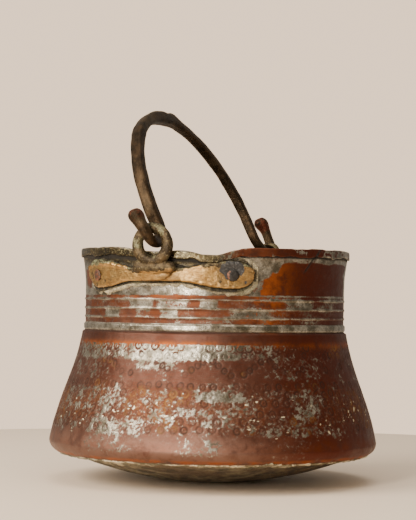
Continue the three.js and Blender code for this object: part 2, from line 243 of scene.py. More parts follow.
def set_masks(piece, **masks):
    """Stores numbers for each point of a piece. Points past the end, such as poles, get the last."""
    for name, values in masks.items():
        values = np.asarray(values, float).ravel()
        short = len(piece.data.vertices) - len(values)
        if short > 0:
            values = np.append(values, np.full(short, values[-1]))
        layer = piece.data.attributes.new(name, "FLOAT", "POINT")
        layer.data.foreach_set("value", values.astype(np.float32))


def read_vectors(items, name):
    """A mesh's points or normals as an array."""
    flat = np.empty(len(items) * 3, np.float32)
    items.foreach_get(name, flat)
    return flat.reshape(-1, 3).astype(float)


def move_points(piece, points):
    piece.data.vertices.foreach_set("co", (points * MM).astype(np.float32).ravel())
    piece.data.update()


# The vessel's surface.

def corner_point(t, depth=0.0):
    """A point inside the skirt's lower corner, by a depth, from the seam at 0 to the widest place at 1."""
    turn = (t - 1) * math.pi / 2
    across = (CORNER_WIDTH - depth) * np.cos(turn)
    down = (CORNER_HEIGHT - depth) * np.sin(turn)
    return SEAM_RADIUS + across, WIDEST_HEIGHT + down


def skirt_radius(height):
    share = (height - WIDEST_HEIGHT) / (SHOULDER_HEIGHT - WIDEST_HEIGHT)
    drawn = 0.55 * share + 0.225 * (1 - np.cos(np.pi * share))
    return WIDEST_RADIUS - (WIDEST_RADIUS - SHOULDER_RADIUS) * drawn


def neck_radius(height):
    share = np.maximum(0, (height - RIM_HEIGHT + FLARE_HEIGHT) / FLARE_HEIGHT)
    return NECK_RADIUS + FLARE_AMOUNT * share * share


def dent_depth(azimuth):
    return sum(depth * bell(turn_between(azimuth, centre), 0, spread)
               for centre, depth, spread in DENTS)


def dent_share(height):
    return ramp(height, RIM_HEIGHT - DENT_FOOT, RIM_HEIGHT)


def wobble(azimuth, height):
    """How far the hand-raised sheet lies inside its true circle."""
    place = on_drum(azimuth, height)
    return 0.35 * (1 + noise(place, 55.0, 11)) + 0.12 * (1 + noise(place, 17.0, 12))


def neck_surface(azimuth, height):
    """The neck's outer radius at an azimuth and a height, dents and wobble included."""
    before = height
    for _ in range(12):
        before = height + dent_depth(azimuth) * dent_share(before)
    return neck_radius(before) - wobble(azimuth, before)


def profile_rows():
    """The sheet's closed section as rows of (radius, height, side, part).

    side is 1 outside and -1 inside. part is lip, skirt, neck, slot, hem or inside.
    """
    rows = []

    def add(radius, height, side, part):
        rows.append((radius, height, side, part))

    for t in np.linspace(0, 1, 22):
        add(*corner_point(t), 1, "lip")
    for height in np.linspace(WIDEST_HEIGHT, SHOULDER_HEIGHT - 0.6, 122)[1:]:
        add(skirt_radius(height), height, 1, "skirt")
    for height in np.linspace(SHOULDER_HEIGHT, RIM_HEIGHT - HEM_HEIGHT, 112):
        step = (SHOULDER_RADIUS - NECK_RADIUS) * fade(height, SHOULDER_HEIGHT, 118.6)
        band = ramp(height, BAND_LOW - 0.9, BAND_LOW + 0.3)
        band = band * fade(height, BAND_HIGH - 0.6, BAND_HIGH + 0.7)
        ridges = sum(RIDGE_PROUD * bell(height, ridge, 0.75) for ridge in RIDGES)
        radius = neck_radius(height) + step + BAND_PROUD * band + ridges
        add(radius, height, 1, "neck")
    under = RIM_HEIGHT - HEM_HEIGHT
    base = neck_radius(under)
    for height in (under + 0.8, under + 1.8):
        add(neck_radius(height), height, 1, "slot")
    add(base + 0.75, under + 2.0, 1, "slot")
    add(base + 0.8, under + 0.9, 1, "slot")
    for radius, height in HEM_SECTION:
        add(base + radius, under + height, 1, "hem")
    for height in np.linspace(under + 3.6, SHOULDER_HEIGHT + 2, 26):
        add(neck_radius(height) - WALL, height, -1, "inside")
    for height in np.linspace(SHOULDER_HEIGHT, WIDEST_HEIGHT, 26):
        add(skirt_radius(height) - WALL, height, -1, "inside")
    for t in np.linspace(1, 0, 8)[1:]:
        add(*corner_point(t, WALL), -1, "lip")
    return rows


# The punched rings: a row of scallops, zigzag teeth, and rows of (height, count, radius).
SCALLOP_HEIGHT = 107.2
TEETH = 16
TOOTH_FOOT = 84.5
LOWER_ROWS = ((78.8, 88, 2.2), (72.6, 86, 2.5), (66.4, 84, 2.5), (60.0, 84, 2.6), (53.6, 82, 2.6),
              (47.4, 82, 2.4))


def punched_rings():
    """The punched ornament: (azimuth, height, radius, from_top) of each ring.

    from_top is 1 for a scallop, which is open at its top, and 0 for a whole ring.
    """
    rings = []

    def row(height, count, radius, from_top=0, shift=0.0):
        for k in range(count):
            rings.append(((k + shift) * 360 / count - 180, height, radius, from_top))

    row(SCALLOP_HEIGHT, 94, 2.7, from_top=1)
    row(101.0, 94, 2.0, shift=0.5)
    for k in range(TEETH):
        for step in (-4, -3, -2, -1, 1, 2, 3, 4):
            azimuth = (k + 0.5 + step / 9.6) * 360 / TEETH - 180
            rings.append((azimuth, TOOTH_FOOT + 3.1 * abs(step), 2.0, 0))
    for k, (height, count, radius) in enumerate(LOWER_ROWS):
        row(height, count, radius, shift=0.5 * (k % 2))
    return rings


def ring_depth_map(azimuth, height, radius):
    """How deep the punches have cut, from 0 to 1, at each point of a grid."""
    cut = np.zeros(azimuth.shape)
    rng = np.random.default_rng(5)
    heights = height[:, 0]
    for centre, level, size, from_top in punched_rings():
        level = level + rng.normal(0, 0.45)
        centre = centre + rng.normal(0, 0.22)
        force = rng.uniform(0.35, 1.0)
        rows = np.where(np.abs(heights - level) < size + 1.5)[0]
        if not len(rows):
            continue
        first, last = rows[0], rows[-1] + 1
        away = turn_between(azimuth[first:last], centre)
        near = np.abs(away[0]) < 3.2
        across = np.radians(away[:, near]) * radius[first:last][:, near]
        up = height[first:last][:, near] - level
        distance = np.hypot(across, up)
        mark = force * bell(distance, size, 0.62)
        if from_top:
            mark = mark * fade(up, 0.2 * size, 0.7 * size)
        mark = np.maximum(mark, 0.8 * force * bell(distance, 0, 0.8))
        part = cut[first:last]
        part[:, near] = np.maximum(part[:, near], mark)
    return cut


# Where tin is left on the skirt: (azimuth, half width, low, high, how much).
SKIRT_TIN = (
    (0, 54, 97, 109.0, 1.0), (13, 20, 98, 108, 0.4), (1, 9, 90, 98, 0.6), (-38, 16, 84, 97, 0.25),
    (10, 60, 84, 95, 0.14), (27, 9, 67, 81, 0.6), (60, 12, 84, 100, 0.25), (-30, 22, 58, 84, 0.22),
    (8, 66, 43, 76, 0.42), (14, 16, 50, 62, 0.25), (-12, 12, 28, 54, 0.5), (20, 8, 28, 42, 0.6),
    (48, 10, 34, 50, 0.2), (90, 40, 40, 100, 0.15),
)

# Tin blocks that hang over the copper between the ridges: (azimuth, half width, low, high).
NECK_TIN = (
    (-8, 6, 136, 142), (7, 7, 136, 142), (-7, 4, 129, 135), (5, 4, 129, 135), (40, 10, 129, 135),
    (-25, 5, 129, 135), (63, 8, 136, 142), (22, 4, 136, 142),
)


# Old knocks in the skirt: (azimuth, height, radius, where round the knock its arc is).
SCARS = ((72, 50, 11.0, 220), (88, 57, 4.5, 120), (-104, 55, 9.0, 200))


def zone(azimuth, height, centre, half_width, low, high, soft=2.0):
    """1 inside a patch and 0 outside it. The rear of the vessel has the same patches."""
    share = 0
    for middle in (centre, centre + 180):
        away = np.abs(turn_between(azimuth, middle))
        share = share + fade(away, 0.72 * half_width, 1.18 * half_width)
    return share * between(height, low - soft, low + soft, high - soft, high + soft)


def tin_cover(azimuth, height, cut):
    """How much tin is left on the outside: above 0.5 it shows, below it is bare copper."""
    side = either_side(azimuth)
    place = on_drum(azimuth, height)
    lace = 0.8 * rough_noise(place, 1.8, 21, 3) + 0.45 * rough_noise(place, 5.5, 28, 3)
    broad = rough_noise(place, 15.0, 31, 3)
    blocks = rough_noise(place * np.array([0.36, 0.36, 1.0]), 6.0, 25, 4)

    # The skirt: patches under the scallops, worn away inside each punched ring.
    skirt = np.full(azimuth.shape, -0.16)
    for centre, half_width, low, high, amount in SKIRT_TIN:
        skirt = skirt + amount * zone(azimuth, height, centre, half_width, low, high)
    low_down = fade(height, 28, 42)
    lace = lace * (1 - 0.3 * low_down)
    skirt = skirt - 2.2 * ramp(height, 109.0, 110.0) - 0.06 * low_down
    skirt = skirt - 1.2 * cut * ramp(height, 102, 104) - 0.45 * cut
    skirt = skirt + 0.3 * ramp(height, 104, 106) * ramp(side, -60, -50) * (side < 50)
    skirt = skirt + 0.62 * lace + 0.16 * broad

    # The neck: blocks between the ridges, whole tin on the ridges, the moulding and above them.
    bands = 0.16 + 0.5 * blocks + 0.1 * lace
    for centre, half_width, low, high in NECK_TIN:
        bands = bands + 0.8 * zone(azimuth, height, centre, half_width, low, high, 0.6)
    for ridge in RIDGES:
        bands = bands + 0.75 * bell(height, ridge, 0.8)
    bands = bands + 0.9 * ramp(height, 144.5, 146.0)
    bands = bands - 0.3 * zone(azimuth, height, 5, 45, 143, 146)
    bands = bands + 1.3 * fade(height, 123.6, 124.6)

    # Bare copper: the field to the right of the plate, the hem over it, and a patch to the left.
    edge = 43 + 0.42 * (height - 147) + 4 * broad
    ragged_side = side + 5 * broad + 3 * blocks + 1.5 * lace
    field = ramp(side, edge - 2, edge + 2) * fade(ragged_side, 98, 104)
    bands = bands - 1.7 * field * ramp(height, 145.5, 147) * fade(height, 169, 172)
    hem = ramp(height, 175.0, 175.6)
    hem_copper = ramp(side, 24, 34) * fade(side, 72, 92)
    bands = bands - hem * (1.3 * hem_copper - 1.1 * lace)
    bare_left = ramp(-side, 41, 46) * ramp(height + 3 * lace, 149, 152)
    bare_left = bare_left * fade(2 * lace - side, 50, 54)
    bands = bands - 1.1 * bare_left * fade(height + 3 * lace, 164, 168)
    return np.where(height < NECK_FOOT, skirt, bands)


def scar_marks(azimuth, height, radius):
    """Bright arcs round old knocks in the skirt, from 0 to 1."""
    marks = np.zeros(azimuth.shape)
    for centre, level, size, arc_at in SCARS:
        across = np.radians(turn_between(azimuth, centre)) * radius
        up = height - level
        line = bell(np.hypot(across, up), size, 0.9)
        angle = np.degrees(np.arctan2(up, across))
        marks = marks + line * bell(turn_between(angle, arc_at), 0, 62)
    broken = 0.5 + rough_noise(on_drum(azimuth, height), 3.0, 76, 2)
    return np.clip(marks * broken * 1.6, 0, 1)


def build_body():
    radius, height, side, part = (np.array(column) for column in zip(*profile_rows()))
    azimuth = full_circle(BODY_COLUMNS)
    az, rad = np.meshgrid(azimuth, radius)
    hgt = np.meshgrid(azimuth, height)[1]

    # Along the section, the direction out of the sheet.
    tangent = np.stack([np.gradient(radius), np.gradient(height)], -1)
    tangent /= np.linalg.norm(tangent, axis=1)[:, None]
    out_r, out_z = tangent[:, 1][:, None], -tangent[:, 0][:, None]

    outside = (side == 1)[:, None]
    on_skirt = (part == "skirt")[:, None]
    plain = np.isin(part, ("lip", "skirt", "neck"))[:, None]
    place = on_drum(az, hgt)

    cut = ring_depth_map(az, hgt, rad) * on_skirt
    hammer = noise(place, 9.0, 13) * 0.10 + noise(place, 4.5, 14) * 0.05
    lift = plain * hammer - PUNCH_DEPTH * cut
    lift = lift + plain * 0.06 * rough_noise(place, 2.6, 15, 2)

    # The worn tin stands a little proud of the copper.
    tin = tin_cover(az, hgt, cut)
    lift = lift + outside * plain * TIN_STEP * ramp(tin, 0.44, 0.56)

    lift = lift - SCAR_DEPTH * scar_marks(az, hgt, rad - 1.2) * on_skirt

    # Ridges and moulding are uneven, made by hand.
    uneven = 0.5 * (1 + noise(place, 30.0, 16))
    for ridge in RIDGES:
        lift = lift - (part == "neck")[:, None] * 0.3 * uneven * bell(hgt, ridge, 0.8)

    # A crease that runs down from the hem on the right.
    crease_line = 70.5 - (176 - hgt) * 0.42
    crease = bell(az, crease_line, 0.75) * ramp(hgt, 162, 166) * outside
    lift = lift - CREASE_DEPTH * crease * fade(hgt, 178, 181)

    r = rad - wobble(az, hgt) + out_r * lift
    z = hgt + out_z * lift

    # The lip is ragged where it laps the pan.
    circle = on_drum(azimuth, 0)
    ragged = rough_noise(circle, 9.0, 41, 4)
    lip_share = np.clip((WIDEST_RADIUS - 4 - radius) / (CORNER_WIDTH - 4), 0, 1) * (part == "lip")
    r = r - (lip_share**2)[:, None] * (0.5 + 0.8 * ragged)[None]
    z = z - (lip_share**3)[:, None] * (0.5 * noise(circle, 5.0, 45))[None]

    # The hem's lower edge wanders, opens and closes.
    hem_share = ((part == "hem") | (part == "slot")) * np.clip((RIM_HEIGHT - height) / HEM_HEIGHT, 0, 1)
    wander = 1.1 * rough_noise(on_drum(azimuth, 9), 14.0, 51, 3)
    wander = wander + 0.7 * rough_noise(on_drum(azimuth, 9), 4.5, 53, 2)
    z = z - hem_share[:, None] * wander[None]
    open_hem = np.clip(rough_noise(on_drum(azimuth, 4), 20.0, 55, 2), 0, 1)
    r = r - (hem_share * (part == "hem"))[:, None] * (0.25 * open_hem)[None]

    # The rim's edge is dented and wavy.
    wave = 0.5 * (1 + noise(circle, 33.0, 61))
    nick = np.clip(noise(circle, 7.0, 62) - 0.35, 0, 1)
    drop = dent_depth(az) + (1.0 * wave + 0.9 * nick)[None]
    z = z - drop * dent_share(hgt)

    piece = grid_mesh("body_sheet", around(az, r, z), wrap_rows=True)
    mark_body(piece, az, hgt, rad, part[:, None], outside, cut, tin, crease)
    return piece


def mark_body(piece, az, hgt, rad, part, outside, cut, tin, crease):
    """Where the body's coatings, dirt, painted shade, painted highlights and orange copper lie."""
    side = either_side(az)
    place = on_drum(az, hgt)
    on_skirt = part == "skirt"
    plain = np.isin(part, ("lip", "skirt", "neck"))
    left = ramp(side, -60, -52)

    # Dirt in the punched rings; painted shade in the crease, at the feet of the ridges and the moulding, in
    # the slot and in a band under the hem where its shadow falls; and darker at the lip's lowest edge.
    grime = ramp(np.clip(cut, 0, 1), 0.2, 0.9) * 0.35 + crease
    foot = bell(hgt, SHOULDER_HEIGHT + 1.6, 0.9) + 0.6 * bell(hgt, BAND_HIGH + 1.0, 0.8)
    for ridge in RIDGES:
        foot = foot + 0.5 * (bell(hgt, ridge - 1.5, 0.5) + bell(hgt, ridge + 1.5, 0.5))
    gap_share = ramp(side, -50, -44) * fade(side, 24, 34)
    near_hem = bell(hgt, RIM_HEIGHT - HEM_HEIGHT - 0.6 - gap_share, 1.1 + 1.3 * gap_share) * plain
    lip_dark = ramp(-hgt, -26, -22) * outside
    grime = grime + foot * plain * 0.6 + (part == "slot") + 1.4 * near_hem + 0.25 * lip_dark

    # Orange copper above the scallops, on the lip and beside the front plate. Above the scallops the orange
    # is painted brightest on the side that faces the light, and on the lip's lowest edge it is a painted
    # highlight.
    rough_zone = bell(hgt, 62, 13) * (0.4 + 0.6 * noise(place, 20.0, 71)) * plain
    brightest = 0.4 + 0.6 * bell(side, 2, 34) + 0.25 * noise(place, 16.0, 79)
    glow = brightest * bell(hgt, 108.4, 2.4) + 0.12 * bell(hgt, 33, 5) + 0.35 * rough_zone
    glow = glow * on_skirt
    glow = glow + 0.9 * (part == "lip") * ramp(-hgt, -26, -23.5)
    side_glow = bell(side, 47, 9) * ramp(hgt, SHOULDER_HEIGHT, BAND_LOW)
    side_glow = 0.7 * side_glow * fade(hgt, 168, 174)
    side_glow = side_glow + 0.5 * bell(side, 0, 20) * bell(hgt, 144.5, 1.6)
    side_glow = side_glow + 0.22 * (hgt > BAND_HIGH) * left * fade(side, 40, 70)

    # Dark patina on the hem above the plate, worn off along the rim's edge.
    over_lug = left * fade(side, 24, 36)
    patina = over_lug * ramp(hgt + 2 * noise(place, 6.0, 73), 166, 171)
    worn_edge = ramp(hgt, 181.0, 181.8) * ramp(noise(place, 5.0, 74), -0.2, 0.3)
    patina = patina * (1 - 0.8 * worn_edge)

    # Deep red to the right, partly the copper's own red and partly painted shade on the side turned from the
    # light; rose low down; and bright chips and scars.
    deep = ramp(side, 28, 66) * (1 - 0.9 * ramp(side, 84, 118))
    scar = scar_marks(az, hgt, rad) * on_skirt
    chips = np.clip(rough_noise(place * np.array([0.6, 0.6, 1.0]), 2.2, 75, 3) - 0.72, 0, 1) * 2.4
    chips = chips * (0.2 + bell(hgt, 58, 13)) * on_skirt
    # Cream on the rim's edge left of each plate is a painted highlight where the edge faces the light; the
    # same worn edge also thins the patina.
    chips = chips + 1.2 * worn_edge * over_lug * (side < 0) * (noise(place, 3.0, 77) > -0.1)
    rosy = fade(hgt + 5 * noise(place, 12.0, 78), 34, 50) * (1 - 0.7 * deep) * outside
    set_masks(piece, tin=np.where(outside, tin, 0.9), ring=cut, chip=np.clip(chips + scar, 0, 1),
              grime=np.clip(grime, 0, 1.2), glow=np.clip(glow + side_glow, 0, 1),
              deep=np.clip(deep, 0, 1), patina=np.where(outside, np.clip(patina, 0, 1), 0.0),
              crust=np.clip(rough_zone, 0, 1), rosy=rosy,
              inside=np.where(outside, 0.0, 1.0) * np.ones(az.shape))


# The bottom.

def dish_height(radius):
    edge = SEAM_HEIGHT + WALL + PAN_GAP
    rise = edge * (radius**2 - FLAT_RADIUS**2) / (SEAM_RADIUS**2 - FLAT_RADIUS**2)
    return np.where(radius < FLAT_RADIUS, 0, rise)


def build_pan():
    inset = WALL + PAN_GAP
    under, over = [], []
    for radius in np.linspace(2, SEAM_RADIUS, 60)[:-1]:
        under.append((radius, float(dish_height(radius))))
        over.append((radius, float(dish_height(radius)) + PAN_THICKNESS))
    for t in np.linspace(0, 1, 9):
        under.append(corner_point(t, inset))
        over.append(corner_point(t, inset + PAN_THICKNESS))
    for height in np.linspace(WIDEST_HEIGHT, FLANGE_TOP, 5)[1:]:
        under.append((skirt_radius(height) - inset, height))
        over.append((skirt_radius(height) - inset - PAN_THICKNESS, height))
    rows = np.array(under + over[::-1])
    azimuth = full_circle(512)
    az, rad = np.meshgrid(azimuth, rows[:, 0])
    hgt = np.meshgrid(azimuth, rows[:, 1])[1]
    flat = around(az, rad, 0)
    beaten = np.abs(noise(flat, 13.0, 81)) * 0.45 + np.abs(noise(flat, 6.0, 82)) * 0.18
    edge = fade(rad, SEAM_RADIUS - 14, SEAM_RADIUS - 2) * ramp(rad, 24, 40)
    z = hgt + beaten * edge
    r = rad - 0.9 * ramp(hgt, 22, 27)
    piece = grid_mesh("bottom_pan_copper", around(az, r, z), pole_first=True, pole_last=True)
    outer = (np.arange(len(rows)) < len(under))[:, None] * np.ones(az.shape)
    # Soot on the pan's underside, from just inside the seam inwards.
    soot = ramp(-rad + 3 * noise(flat, 9.0, 83), -116, -104) * outer
    set_masks(piece, soot=soot, inside=1 - outer)
    return piece


# How much of the solder's width lies on the pan. The rest laps over the skirt's corner.
SHARE_ON_PAN = 0.6


def build_seam_solder():
    """The wiped solder: a lumpy band on the pan that laps over the skirt's lower edge here and there."""
    azimuth = full_circle(1280)
    ring = on_drum(azimuth, 0)
    inner = SEAM_RADIUS - 10 - 4.0 * rough_noise(ring, 14.0, 91, 4)
    lap = 0.15 + 0.13 * np.clip(rough_noise(ring, 8.0, 92, 4), -1, 1)
    torn = bell(azimuth, 48, 14) + bell(azimuth, -140, 14)
    lap = lap + 0.3 * torn * np.clip(0.25 + rough_noise(ring, 5.0, 93, 3), 0, 1)
    thick = 0.95 + 0.45 * rough_noise(ring, 6.0, 95, 3)
    rows, back = [], []
    for t in np.linspace(0, 1, 34):
        if t <= SHARE_ON_PAN:
            radius = inner + (SEAM_RADIUS - inner) * (t / SHARE_ON_PAN)
            height = dish_height(radius)
            out_r, out_z = 0.0, -1.0
        else:
            along = lap * ((t - SHARE_ON_PAN) / (1 - SHARE_ON_PAN))
            radius, height = corner_point(along)
            turn = (along - 1) * math.pi / 2
            out_r, out_z = np.cos(turn), np.sin(turn)
        lumps = 0.5 * rough_noise(around(azimuth, radius, height), 3.4, 97, 3)
        crown = math.sin(math.pi * min(0.12 + 0.8 * t, 0.97)) ** 0.6
        lift = np.maximum(0.12, thick * crown + lumps)
        rows.append((radius + out_r * lift, height + out_z * lift))
        back.append((radius - out_r * 0.3, height - out_z * 0.3))
    rows += back[::-4]
    grid = np.stack([around(azimuth, r, z) for r, z in rows])
    piece = grid_mesh("seam_solder_bead", grid, wrap_rows=True)
    dull = bell(either_side(azimuth), -48, 34) + 0.5 * noise(ring, 20.0, 98)
    set_masks(piece, dull=np.clip(dull, 0, 1)[None] * np.ones(grid.shape[:2]))
    return piece


# The lugs.

def plate_half_height(share):
    lobe = ramp(share, 0.25, 0.72)
    full = WAIST_HALF_HEIGHT + (LOBE_HALF_HEIGHT - WAIST_HALF_HEIGHT) * lobe
    end = np.maximum(0, (share - 0.78) / 0.22)
    return full * np.sqrt(np.maximum(0.03, 1 - 0.97 * end**2))


def hem_underside(azimuth):
    before = RIM_HEIGHT - HEM_HEIGHT
    return before - dent_depth(azimuth) * dent_share(before)


def plate_shell(name, centre, seed):
    """The lug's plate as a closed shell, crowned across its width."""
    columns, rows = 240, 34
    share = np.sin(np.linspace(-0.5, 0.5, columns) * np.pi)
    azimuth = centre + share * PLATE_HALF_ANGLE
    half = plate_half_height(np.abs(share))
    line = on_drum(azimuth, PLATE_HEIGHT)
    low = PLATE_HEIGHT - half + 0.5 * noise(line, 15.0, seed)
    high = PLATE_HEIGHT + half + 0.5 * noise(line, 12.0, seed + 1)
    high = np.minimum(high, hem_underside(azimuth) - 1.3 - 1.3 * bell(azimuth - centre, -16, 8))
    front, back = [], []
    for t in np.linspace(0, 1, rows):
        height = low + (high - low) * t
        across = 2 * t - 1
        near = neck_surface(azimuth, height) + PLATE_STAND_OFF
        crown = np.sqrt(max(0.0, 1 - abs(across) ** 3.2))
        place = on_drum(azimuth, height)
        beat = 0.28 * noise(place, 11.0, seed + 2) + 0.12 * noise(place, 4.0, seed + 3)
        far = near + 1.1 + (PLATE_THICKNESS - 1.1) * crown + beat
        front.append(around(azimuth, far, height))
        back.append(around(azimuth, near, height))
    loop = np.stack(front + back[::-1])
    return grid_mesh(name, loop.transpose(1, 0, 2)[::-1], pole_first=True, pole_last=True)


def spun(x, y, z, azimuth):
    """Points turned from the front of the vessel to an azimuth."""
    turn = math.radians(azimuth)
    return np.stack([x * math.cos(turn) - y * math.sin(turn), x * math.sin(turn) + y * math.cos(turn), z], -1)


def ring_tube(name, centre, hole, bar, seed):
    """The cast ring: a bar of uneven size bent round the hole, thicker where it joins the plate."""
    mean = hole + bar / 2
    section = full_turn(40)
    grid = []
    for turn in full_turn(160):
        foot = max(0.0, -math.sin(turn)) ** 2
        wear = 1 - 0.06 * math.cos(3 * turn + seed) - 0.05 * math.cos(turn * 2 + 1.1 * seed)
        in_plane = (bar / 2) * (0.96 * wear)
        depth = (RING_DEPTH / 2) * (0.95 * wear + 0.06 * foot)
        outward = mean + in_plane * np.cos(section)
        x = outward * math.cos(turn)
        z = RING_HEIGHT + outward * math.sin(turn)
        y = -RING_PLANE - depth * np.sin(section)
        grid.append(spun(x, y, z, centre))
    return grid_mesh(name, np.stack(grid), wrap_rows=True)


def foot_lump(name, centre, offset, size):
    """An egg-shaped lump that joins the ring to the plate."""
    section = full_turn(48)
    grid = []
    for tilt in np.linspace(-0.49, 0.49, 24) * np.pi:
        x = offset[0] + size[0] * math.cos(tilt) * np.cos(section)
        y = -RING_PLANE + offset[1] + size[1] * math.cos(tilt) * np.sin(section)
        z = offset[2] + size[2] * math.sin(tilt) + 0 * section
        grid.append(spun(x, y, z, centre))
    return grid_mesh(name, np.stack(grid), pole_first=True, pole_last=True)


def join(pieces, name):
    """Joins pieces into the first one, by name."""
    bpy.ops.object.select_all(action="DESELECT")
    for piece in pieces:
        piece.select_set(True)
    bpy.context.view_layer.objects.active = pieces[0]
    bpy.ops.object.join()
    pieces[0].name = name
    pieces[0].data.name = name
    return pieces[0]


def fuse(piece, voxel, smooth_rounds):
    """Makes one skin of a piece's overlapping shells and softens the joins."""
    remesh = piece.modifiers.new("fuse", "REMESH")
    remesh.mode = "VOXEL"
    remesh.voxel_size = voxel * MM
    remesh.use_smooth_shade = True
    soften = piece.modifiers.new("soften", "SMOOTH")
    soften.factor = 0.5
    soften.iterations = smooth_rounds
    bpy.context.view_layer.objects.active = piece
    for modifier in list(piece.modifiers):
        bpy.ops.object.modifier_apply(modifier=modifier.name)
    piece.data.shade_smooth()


def build_lug(lug, centre, seed):
    plate = plate_shell(lug + "_casting", centre, seed)
    hole, bar = RINGS[lug[4:]]
    ring = ring_tube(lug + "_ring", centre, hole, bar, seed)
    reach = hole + 0.65 * bar
    top = RING_HEIGHT - hole - bar / 2 + 1.3
    tall = (top - FOOT_BASE) / 2
    lumps = [foot_lump(lug + "_foot", centre, (0, 0.9, FOOT_BASE + tall), (reach, 3.6, tall)),
             foot_lump(lug + "_fairing", centre, (0, 2.9, 161.0), (reach, 2.9, 5.4)),
             foot_lump(lug + "_foot_left", centre, (-0.82 * reach, 1.4, 166.5), (5.5, 3.6, 5.0)),
             foot_lump(lug + "_foot_right", centre, (0.85 * reach, 1.4, 166.0), (6.5, 3.6, 4.6))]
    piece = join([plate, ring] + lumps, lug + "_casting")
    fuse(piece, 0.42, 5)
    points = read_vectors(piece.data.vertices, "co") / MM
    normals = read_vectors(piece.data.vertex_normals, "vector")
    height = points[:, 2]
    grain = 0.10 * noise(points, 2.2, seed + 31) + 0.16 * noise(points, 6.0, seed + 32)
    high = ramp(height, 168, 174)
    pits = np.clip(-0.25 - noise(points, 1.7, seed + 33), 0, 1) * (0.25 + 0.35 * high)
    azimuth = np.degrees(np.arctan2(points[:, 0], -points[:, 1]))
    along = turn_between(azimuth, centre)
    radial = np.hypot(points[:, 0], points[:, 1])
    front = radial - neck_surface(azimuth, height)
    face = ramp(front, 2.2, 4.0)
    half = plate_half_height(np.minimum(np.abs(along) / PLATE_HALF_ANGLE, 1))
    edge = np.abs(height - PLATE_HEIGHT) / half
    burr_place = ramp(-along, 10, 15) * (height > PLATE_HEIGHT)
    burr_place = burr_place + 0.5 * (0.5 + noise(points, 14.0, seed + 34))
    burr = 1.3 * burr_place * bell(edge, 0.86, 0.18) * ramp(front, 1.8, 3.2)
    hollow = 0.9 * bell(along, RIVET_ANGLE, 3.4) * bell(height, PLATE_HEIGHT + 2.2, 5.0)
    hollow = hollow * face * (np.abs(along) < PLATE_HALF_ANGLE)
    shift = grain - pits + burr * (1 + 0.7 * noise(points, 3.0, seed + 35)) - hollow
    move_points(piece, points + normals * shift[:, None])
    worn = face * fade(height, 166, 171.5) * fade(edge, 0.9, 1.1)
    worn = worn - 0.8 * fade(np.abs(along), 8, 18) * ramp(height, 160.5, 164.5)
    worn = worn - 0.5 * ramp(along, 2, 14) * ramp(height, 163.5, 168)
    worn = worn - 0.45 * bell(along, -RIVET_ANGLE - 2, 5) * bell(height, PLATE_HEIGHT + 3, 7)
    worn = worn + 0.36 * noise(points, 8.0, seed + 41) + 0.32 * rough_noise(points, 3.0, seed + 42, 3)
    # Painted shade in the recess round the right rivet.
    patch = np.hypot(along - RIVET_ANGLE, (height - PLATE_HEIGHT - 2.6) * 0.55)
    patch = patch + 2.2 * noise(points, 5.0, seed + 43) + 1.0 * noise(points, 2.0, seed + 44)
    burnt = fade(patch, 4.0, 5.4)
    green = 1.4 * burr_place * bell(edge, 0.9, 0.2) * (height > PLATE_HEIGHT)
    green = green + 0.4 * high * (noise(points, 8.0, seed + 45) > 0.1)
    green = np.clip(green * (1.0 if centre == 0 else 0.5), 0, 1)
    set_masks(piece, worn=worn, burnt=burnt, green=green)
    return piece


def build_bed(lug, centre, seed):
    """The crusted solder round a plate: low under it, lumpy and ragged where it shows. Above the plate and
    along its outline the crust is left dark, partly its own colour and partly painted shadow under the hem
    and beside the plate's edge.
    """
    columns, rows = 300, 64
    share = np.sin(np.linspace(-0.5, 0.5, columns) * np.pi)
    reach = PLATE_HALF_ANGLE + BED_MARGIN * 0.5
    azimuth = centre + share * reach + 0.5
    right_end = ramp(share, 0.55, 0.95)
    line = on_drum(azimuth, PLATE_HEIGHT)
    half = plate_half_height(np.abs(share)) + 0.4 * BED_MARGIN
    scallop = 1.4 * rough_noise(line, 4.6, seed + 1, 3)
    low = PLATE_HEIGHT - half - 0.75 * BED_MARGIN - 0.9 * ramp(share, 0.3, 0.9) + scallop
    high = PLATE_HEIGHT + half + 0.6 * BED_MARGIN * right_end + 0.6 * scallop
    high = np.minimum(high, hem_underside(azimuth) + 0.4)
    plate_half = plate_half_height(np.minimum(np.abs(azimuth - centre) / PLATE_HALF_ANGLE, 1))
    front, margins = [], []
    for t in np.linspace(0, 1, rows):
        height = low + (high - low) * t
        bead = fade(height, PLATE_HEIGHT - 3, PLATE_HEIGHT + 3)
        bead = np.clip(0.3 + 0.7 * np.maximum(bead, right_end) - 0.35 * (share < -0.8), 0, 1)
        speckled = 1 - 0.42 * np.maximum(ramp(share, 0.3, 0.5), ramp(-share, 0.6, 0.75))
        beyond = np.abs(height - PLATE_HEIGHT) - plate_half
        beyond = np.maximum(beyond, (np.abs(azimuth - centre) - PLATE_HALF_ANGLE) * 1.8)
        place = on_drum(azimuth, height)
        lumps = 0.7 + 0.9 * rough_noise(place, 3.0, seed + 2, 3)
        shows = ramp(beyond, -0.4, 0.8) * fade(beyond, 2.6, 4.6)
        thick = 1.0 + shows * bead * np.clip(lumps, -0.3, 2.4)
        margins.append(beyond * bead * speckled)
        edge = min(t, 1 - t)
        thick = np.where(edge < 0.02, 0.25, thick)
        front.append(around(azimuth, neck_surface(azimuth, height) + 0.1 + thick, height))
    heights = [low + (high - low) * t for t in np.linspace(1, 0, rows)]
    back = [around(azimuth, neck_surface(azimuth, h) + 0.05, h) for h in heights]
    loop = np.stack(front + back)
    piece = grid_mesh(lug, loop.transpose(1, 0, 2)[::-1], pole_first=True, pole_last=True)
    margins = np.stack(margins)
    both = np.concatenate([margins, margins[::-1]])
    set_masks(piece, margin=np.clip(both / 5, 0, 1).T[::-1])
    return piece


